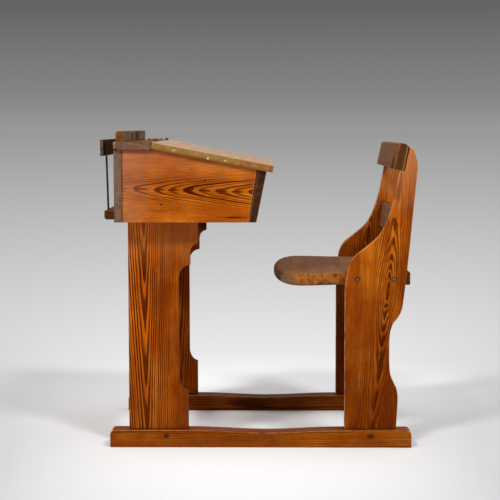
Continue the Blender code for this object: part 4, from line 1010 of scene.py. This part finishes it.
class DESK_OT_fasteners(DeskOperator, bpy.types.Operator):
    """The small screws and nails"""
    bl_idname = "desk.fasteners"
    bl_label = "Screws and nails"

    def make(self, wood, fittings, studio):
        iron = metal("screw_iron", fittings.iron, fittings.rust, 0.8, 0.45)
        brass = metal("screw_brass", fittings.brass, shade(96, 78, 48), 0.85, 0.35)
        hinge_head = fittings.screw_head * 0.95
        for leaf, way, body in (("shelf", 1, "frame"), ("lid", -1, "lid")):
            places = self.hinge_screws(leaf, way)
            fasten("hinge_" + leaf + "_screws", body, places, hinge_head, fittings, iron)
        fasten("batten_screws", "lid", self.batten_screws(), fittings.screw_head, fittings, iron)
        fasten("box_bottom_screws", "frame", self.bottom_screws(), fittings.screw_head, fittings, iron)
        fasten("plate_screws", "frame", self.plate_screws(fittings), fittings.plate_screw_head,
               fittings, brass)
        fasten("box_nails", "frame", self.nails(), fittings.nail_head, fittings, iron, slotted=False)

    def hinge_screws(self, leaf, way):
        """Three in each leaf, facing into the joint."""
        half_gap = 0.0004
        under_axis = 0.0128
        for side in SIDES:
            node = side + "_hinge_" + leaf + "_leaf"
            length = high(node).y - low(node).y
            for share in (-0.35, 0.0, 0.35):
                local = Vector((-way * half_gap, middle(node).y + share * length, -under_axis))
                yield HINGE_AXIS + LID_TURN @ local, LID_TURN @ Vector((way, 0, 0))

    def batten_screws(self):
        """Up through each batten into the lid's boards."""
        first = 0.0385
        margin = 0.006
        under_axis = 0.0371
        for side in SIDES:
            node = "lid_" + side + "_batten"
            length = (high(node).x - low(node).x) / math.cos(LID_SLOPE)
            for share in (0.08, 0.35, 0.62, 0.90):
                place = HINGE_AXIS + LID_TURN @ Vector((first + share * (length - margin), 0.0, -under_axis))
                place.y = middle(node).y
                yield place, LID_TURN @ -Vector(UP)

    def bottom_screws(self):
        """Down through the box's bottom into the cleats."""
        for side in SIDES:
            cleat = side + "_box_cleat"
            for share in (0.15, 0.85):
                along = between(low(cleat).x, high(cleat).x, share)
                yield Vector((along, middle(cleat).y, high("box_bottom").z)), UP

    def plate_screws(self, fittings):
        """Round the inkwell's ring."""
        plate = "inkwell_plate"
        radius = half_width(plate) - fittings.plate_screw_head * 1.3
        for angle in (-115, 0, 115):
            place = middle(plate) + Matrix.Rotation(math.radians(angle), 3, "Z") @ Vector((radius, 0, 0))
            place.z = high(plate).z
            yield place, UP

    def nails(self):
        """Through the box's front and back boards into its sides, and down through the shelf."""
        half_side_board = 0.0092
        bottom = low("box_front")
        top = high("box_front")
        back = low("box_back")
        outward = Vector((math.cos(FRONT_SLANT), 0.0, -math.sin(FRONT_SLANT)))
        reach = span("box_front", tuple(outward))[1]
        for sign in SIDES.values():
            across = sign * (top.y - half_side_board)
            for share in (0.15, 0.5, 0.85):
                up = between(bottom.z, top.z, share)
                along = (reach + up * math.sin(FRONT_SLANT)) / math.cos(FRONT_SLANT)
                yield Vector((along, across, up)), outward
                yield Vector((back.x, across, between(back.z, high("box_back").z, share))), -Vector(ALONG)
            for share in (0.16, 0.72):
                along = between(high("book_stop").x, high("pen_shelf").x, share)
                yield Vector((along, across, SHELF_TOP)), UP


class DESK_OT_inkwell(DeskOperator, bpy.types.Operator):
    """The ceramic well, its ring, its cover and the rivet that it swings on"""
    bl_idname = "desk.inkwell"
    bl_label = "Inkwell"

    def make(self, wood, fittings, studio):
        start = low("inkwell").z
        end = high("inkwell").z
        centre = middle("inkwell")
        centre.z = 0.0
        flange = half_width("inkwell")
        body = flange - 0.0022
        base = body * 0.84
        wall = 0.003
        lip = 0.003
        soft = 0.0005
        ease = 0.001
        profile = [(0.0, start), (base - ease, start), (base, start + ease), (body, end - lip - soft),
                   (body + 0.0006, end - lip), (flange, end - lip), (flange, end - soft),
                   (flange - soft, end), (body - wall + ease, end), (body - wall, end - ease),
                   (base - wall, start + wall + ease), (base - wall - ease, start + wall),
                   (0.0, start + wall)]
        well = turned_ring("inkwell_glazed", profile, centre, 45.0)
        dress(well, "inkwell", glazed("inkwell_glaze", fittings))
        start = low("inkwell_plate").z
        end = high("inkwell_plate").z
        outer = half_width("inkwell_plate")
        inner = 0.0121
        soft = 0.0004
        profile = [(outer, start), (outer, end - soft), (outer - soft, end), (inner + soft, end),
                   (inner, end - soft), (inner, start)]
        ring = turned_ring("inkwell_ring", profile, centre, 70.0)
        brass = metal("plate_brass", fittings.brass, shade(88, 70, 42), 0.85, 0.36, 110.0)
        dress(ring, "inkwell_plate", brass)
        iron = metal("cover_iron", shade(150, 138, 118), shade(112, 96, 74), 0.8, 0.36, 90.0)
        for node in ("inkwell_cover", "inkwell_pivot"):
            dress_metal(node, iron)


class DESK_OT_rack(DeskOperator, bpy.types.Operator):
    """The book rack behind the desk"""
    bl_idname = "desk.rack"
    bl_label = "Rack"

    def make(self, wood, fittings, studio):
        dress_board("rack_rail", wood, "stained_pine", centre=0.75, pith=low("rack_rail").x - 0.02,
                    seed=131.0, tone=0.5, stain=0.86, worn=0.10, end=shade(92, 86, 80))
        dress_board("rack_ledge", wood, "stained_pine", across="x", centre=-0.37, pith=0.56,
                    seed=137.0, tone=0.6, stain=0.55, worn=0.3, end=shade(66, 42, 22))
        iron = metal("rod_iron", fittings.iron, fittings.rust, 0.7, 0.45)
        for name in ("left", "middle", "right"):
            self.rod(name + "_rack_rod", fittings, iron)

    def rod(self, node, fittings, iron):
        """A rod that stands in the ledge, leans to the rail and runs up behind it."""
        foot = high(node).x - fittings.rod
        head = low(node).x + fittings.rod
        line = [(foot, low(node).z), (foot, high("rack_ledge").z), (head, low("rack_rail").z),
                (head, high(node).z)]
        mesh = bpy.data.meshes.new(node + "_line")
        mesh.from_pydata([(x, middle(node).y, z) for x, z in line], [(0, 1), (1, 2), (2, 3)], [])
        thing = linked(node + "_iron", mesh)
        grow(thing, rod_plan(), {"Radius": fittings.rod, "Bend": 0.012, "Material": iron})
        dress(thing, node, iron)


class DESK_OT_studio(DeskOperator, bpy.types.Operator):
    """The pale floor, the soft light and the camera"""
    bl_idname = "desk.studio"
    bl_label = "Studio"

    def make(self, wood, fittings, studio):
        scene = bpy.context.scene
        scene.view_settings.view_transform = "Standard"
        self.floor(studio)
        self.surroundings(scene, studio)
        self.light("key", -36, studio.key)
        self.light("fill", 36, studio.fill)
        lens = bpy.data.cameras.new("camera")
        lens.lens = studio.lens
        lens.clip_end = 400.0
        camera = linked("camera", lens)
        turn = Matrix.Rotation(math.pi / 2 - studio.dip, 4, "X") @ Matrix.Rotation(studio.swing, 4, "Y")
        camera.matrix_world = Matrix.Translation(studio.place) @ turn
        scene.camera = camera

    def floor(self, studio):
        """A wide floor, white round the desk and greyer with distance: a painted pool of light and its painted
        falling off.
        """
        reach = 120.0
        corners = [(-reach, -reach, 0), (reach, -reach, 0), (reach, reach, 0), (-reach, reach, 0)]
        mesh = bpy.data.meshes.new("floor")
        mesh.from_pydata(corners, [], [(0, 1, 2, 3)])
        floor = linked("floor", mesh)
        finish = Finish("floor_paper", studio.distance)
        place = finish.place
        away = (place["x"] * place["x"] + place["y"] * place["y"]).root()
        near = studio.reach / (away + studio.reach)
        # Painted light: full white in a pool round the desk's front, grey with distance, and darker to the sides.
        finish.lay((near * 0.9 + near.rise(0.74, 0.88) * 0.2).least(1.0), studio.floor)
        beside = place["x"] + 0.04
        behind = place["y"] + 0.45
        finish.darken(1.0 - (beside * beside * 0.84 / (behind * behind * 1.35 + 1.0)).least(0.28))
        tooth = finish.speckle(300.0, 2.0)
        mesh.materials.append(finish.done(0.85 + tooth * 0.1, tooth, 0.0002))

    def surroundings(self, scene, studio):
        """Grey at the horizon, darker just over it, and bright overhead."""
        world = bpy.data.worlds.new("studio")
        scene.world = world
        world.use_nodes = True
        graph = Graph(world.node_tree)
        graph.tree.nodes.clear()
        way = graph.node("ShaderNodeTexCoord")
        height = graph.parts(way.outputs["Generated"])["z"]
        ramp = graph.node("ShaderNodeValToRGB", None, {0: height})
        greys = ((0.0, 153), (0.0124, 141), (0.0262, 131), (0.0468, 121), (0.0842, 99), (0.25, 110),
                 (0.6, 214), (1.0, 240))
        elements = ramp.color_ramp.elements
        while len(elements) < len(greys):
            elements.new(0.5)
        for element, (position, grey) in zip(elements, greys):
            element.position = position
            element.color = shade(grey, grey, grey)
        glow = graph.node("ShaderNodeBackground", None, {"Color": ramp, "Strength": studio.sky})
        graph.node("ShaderNodeOutputWorld", None, {0: glow})

    def light(self, name, turn, strength):
        """A wide soft light from one side of the camera, high up."""
        data = bpy.data.lights.new(name, "SUN")
        data.energy = strength
        data.angle = math.radians(10.0)
        linked(name, data).rotation_euler = (math.radians(44), 0.0, math.radians(turn))


OPERATORS = (DESK_OT_feet, DESK_OT_desk_standards, DESK_OT_seat_standards, DESK_OT_seat,
             DESK_OT_back_rails, DESK_OT_box, DESK_OT_shelf, DESK_OT_lid, DESK_OT_hinges,
             DESK_OT_fasteners, DESK_OT_inkwell, DESK_OT_rack, DESK_OT_studio)


class DESK_PT_panel(bpy.types.Panel):
    """Lists what makes the desk"""
    bl_idname = "DESK_PT_panel"
    bl_label = "School Desk"
    bl_space_type = "VIEW_3D"
    bl_region_type = "UI"
    bl_category = "School Desk"

    def draw(self, context):
        for settings in (context.scene.desk_wood, context.scene.desk_fittings, context.scene.desk_studio):
            box = self.layout.box()
            for name in settings.__annotations__:
                box.prop(settings, name)
        for operator in OPERATORS:
            self.layout.operator(operator.bl_idname)


CLASSES = (DeskWoodSettings, DeskFittingSettings, DeskStudioSettings, *OPERATORS, DESK_PT_panel)


def register():
    """Add the classes and the settings."""
    for cls in CLASSES:
        bpy.utils.register_class(cls)
    bpy.types.Scene.desk_wood = PointerProperty(type=DeskWoodSettings)
    bpy.types.Scene.desk_fittings = PointerProperty(type=DeskFittingSettings)
    bpy.types.Scene.desk_studio = PointerProperty(type=DeskStudioSettings)


def unregister():
    """Take the settings and the classes away."""
    del bpy.types.Scene.desk_studio
    del bpy.types.Scene.desk_fittings
    del bpy.types.Scene.desk_wood
    for cls in reversed(CLASSES):
        bpy.utils.unregister_class(cls)


def main():
    """Make every piece, then the studio."""
    register()
    for operator in OPERATORS:
        group, name = operator.bl_idname.split(".")
        getattr(getattr(bpy.ops, group), name)()


if __name__ == "__main__":
    main()
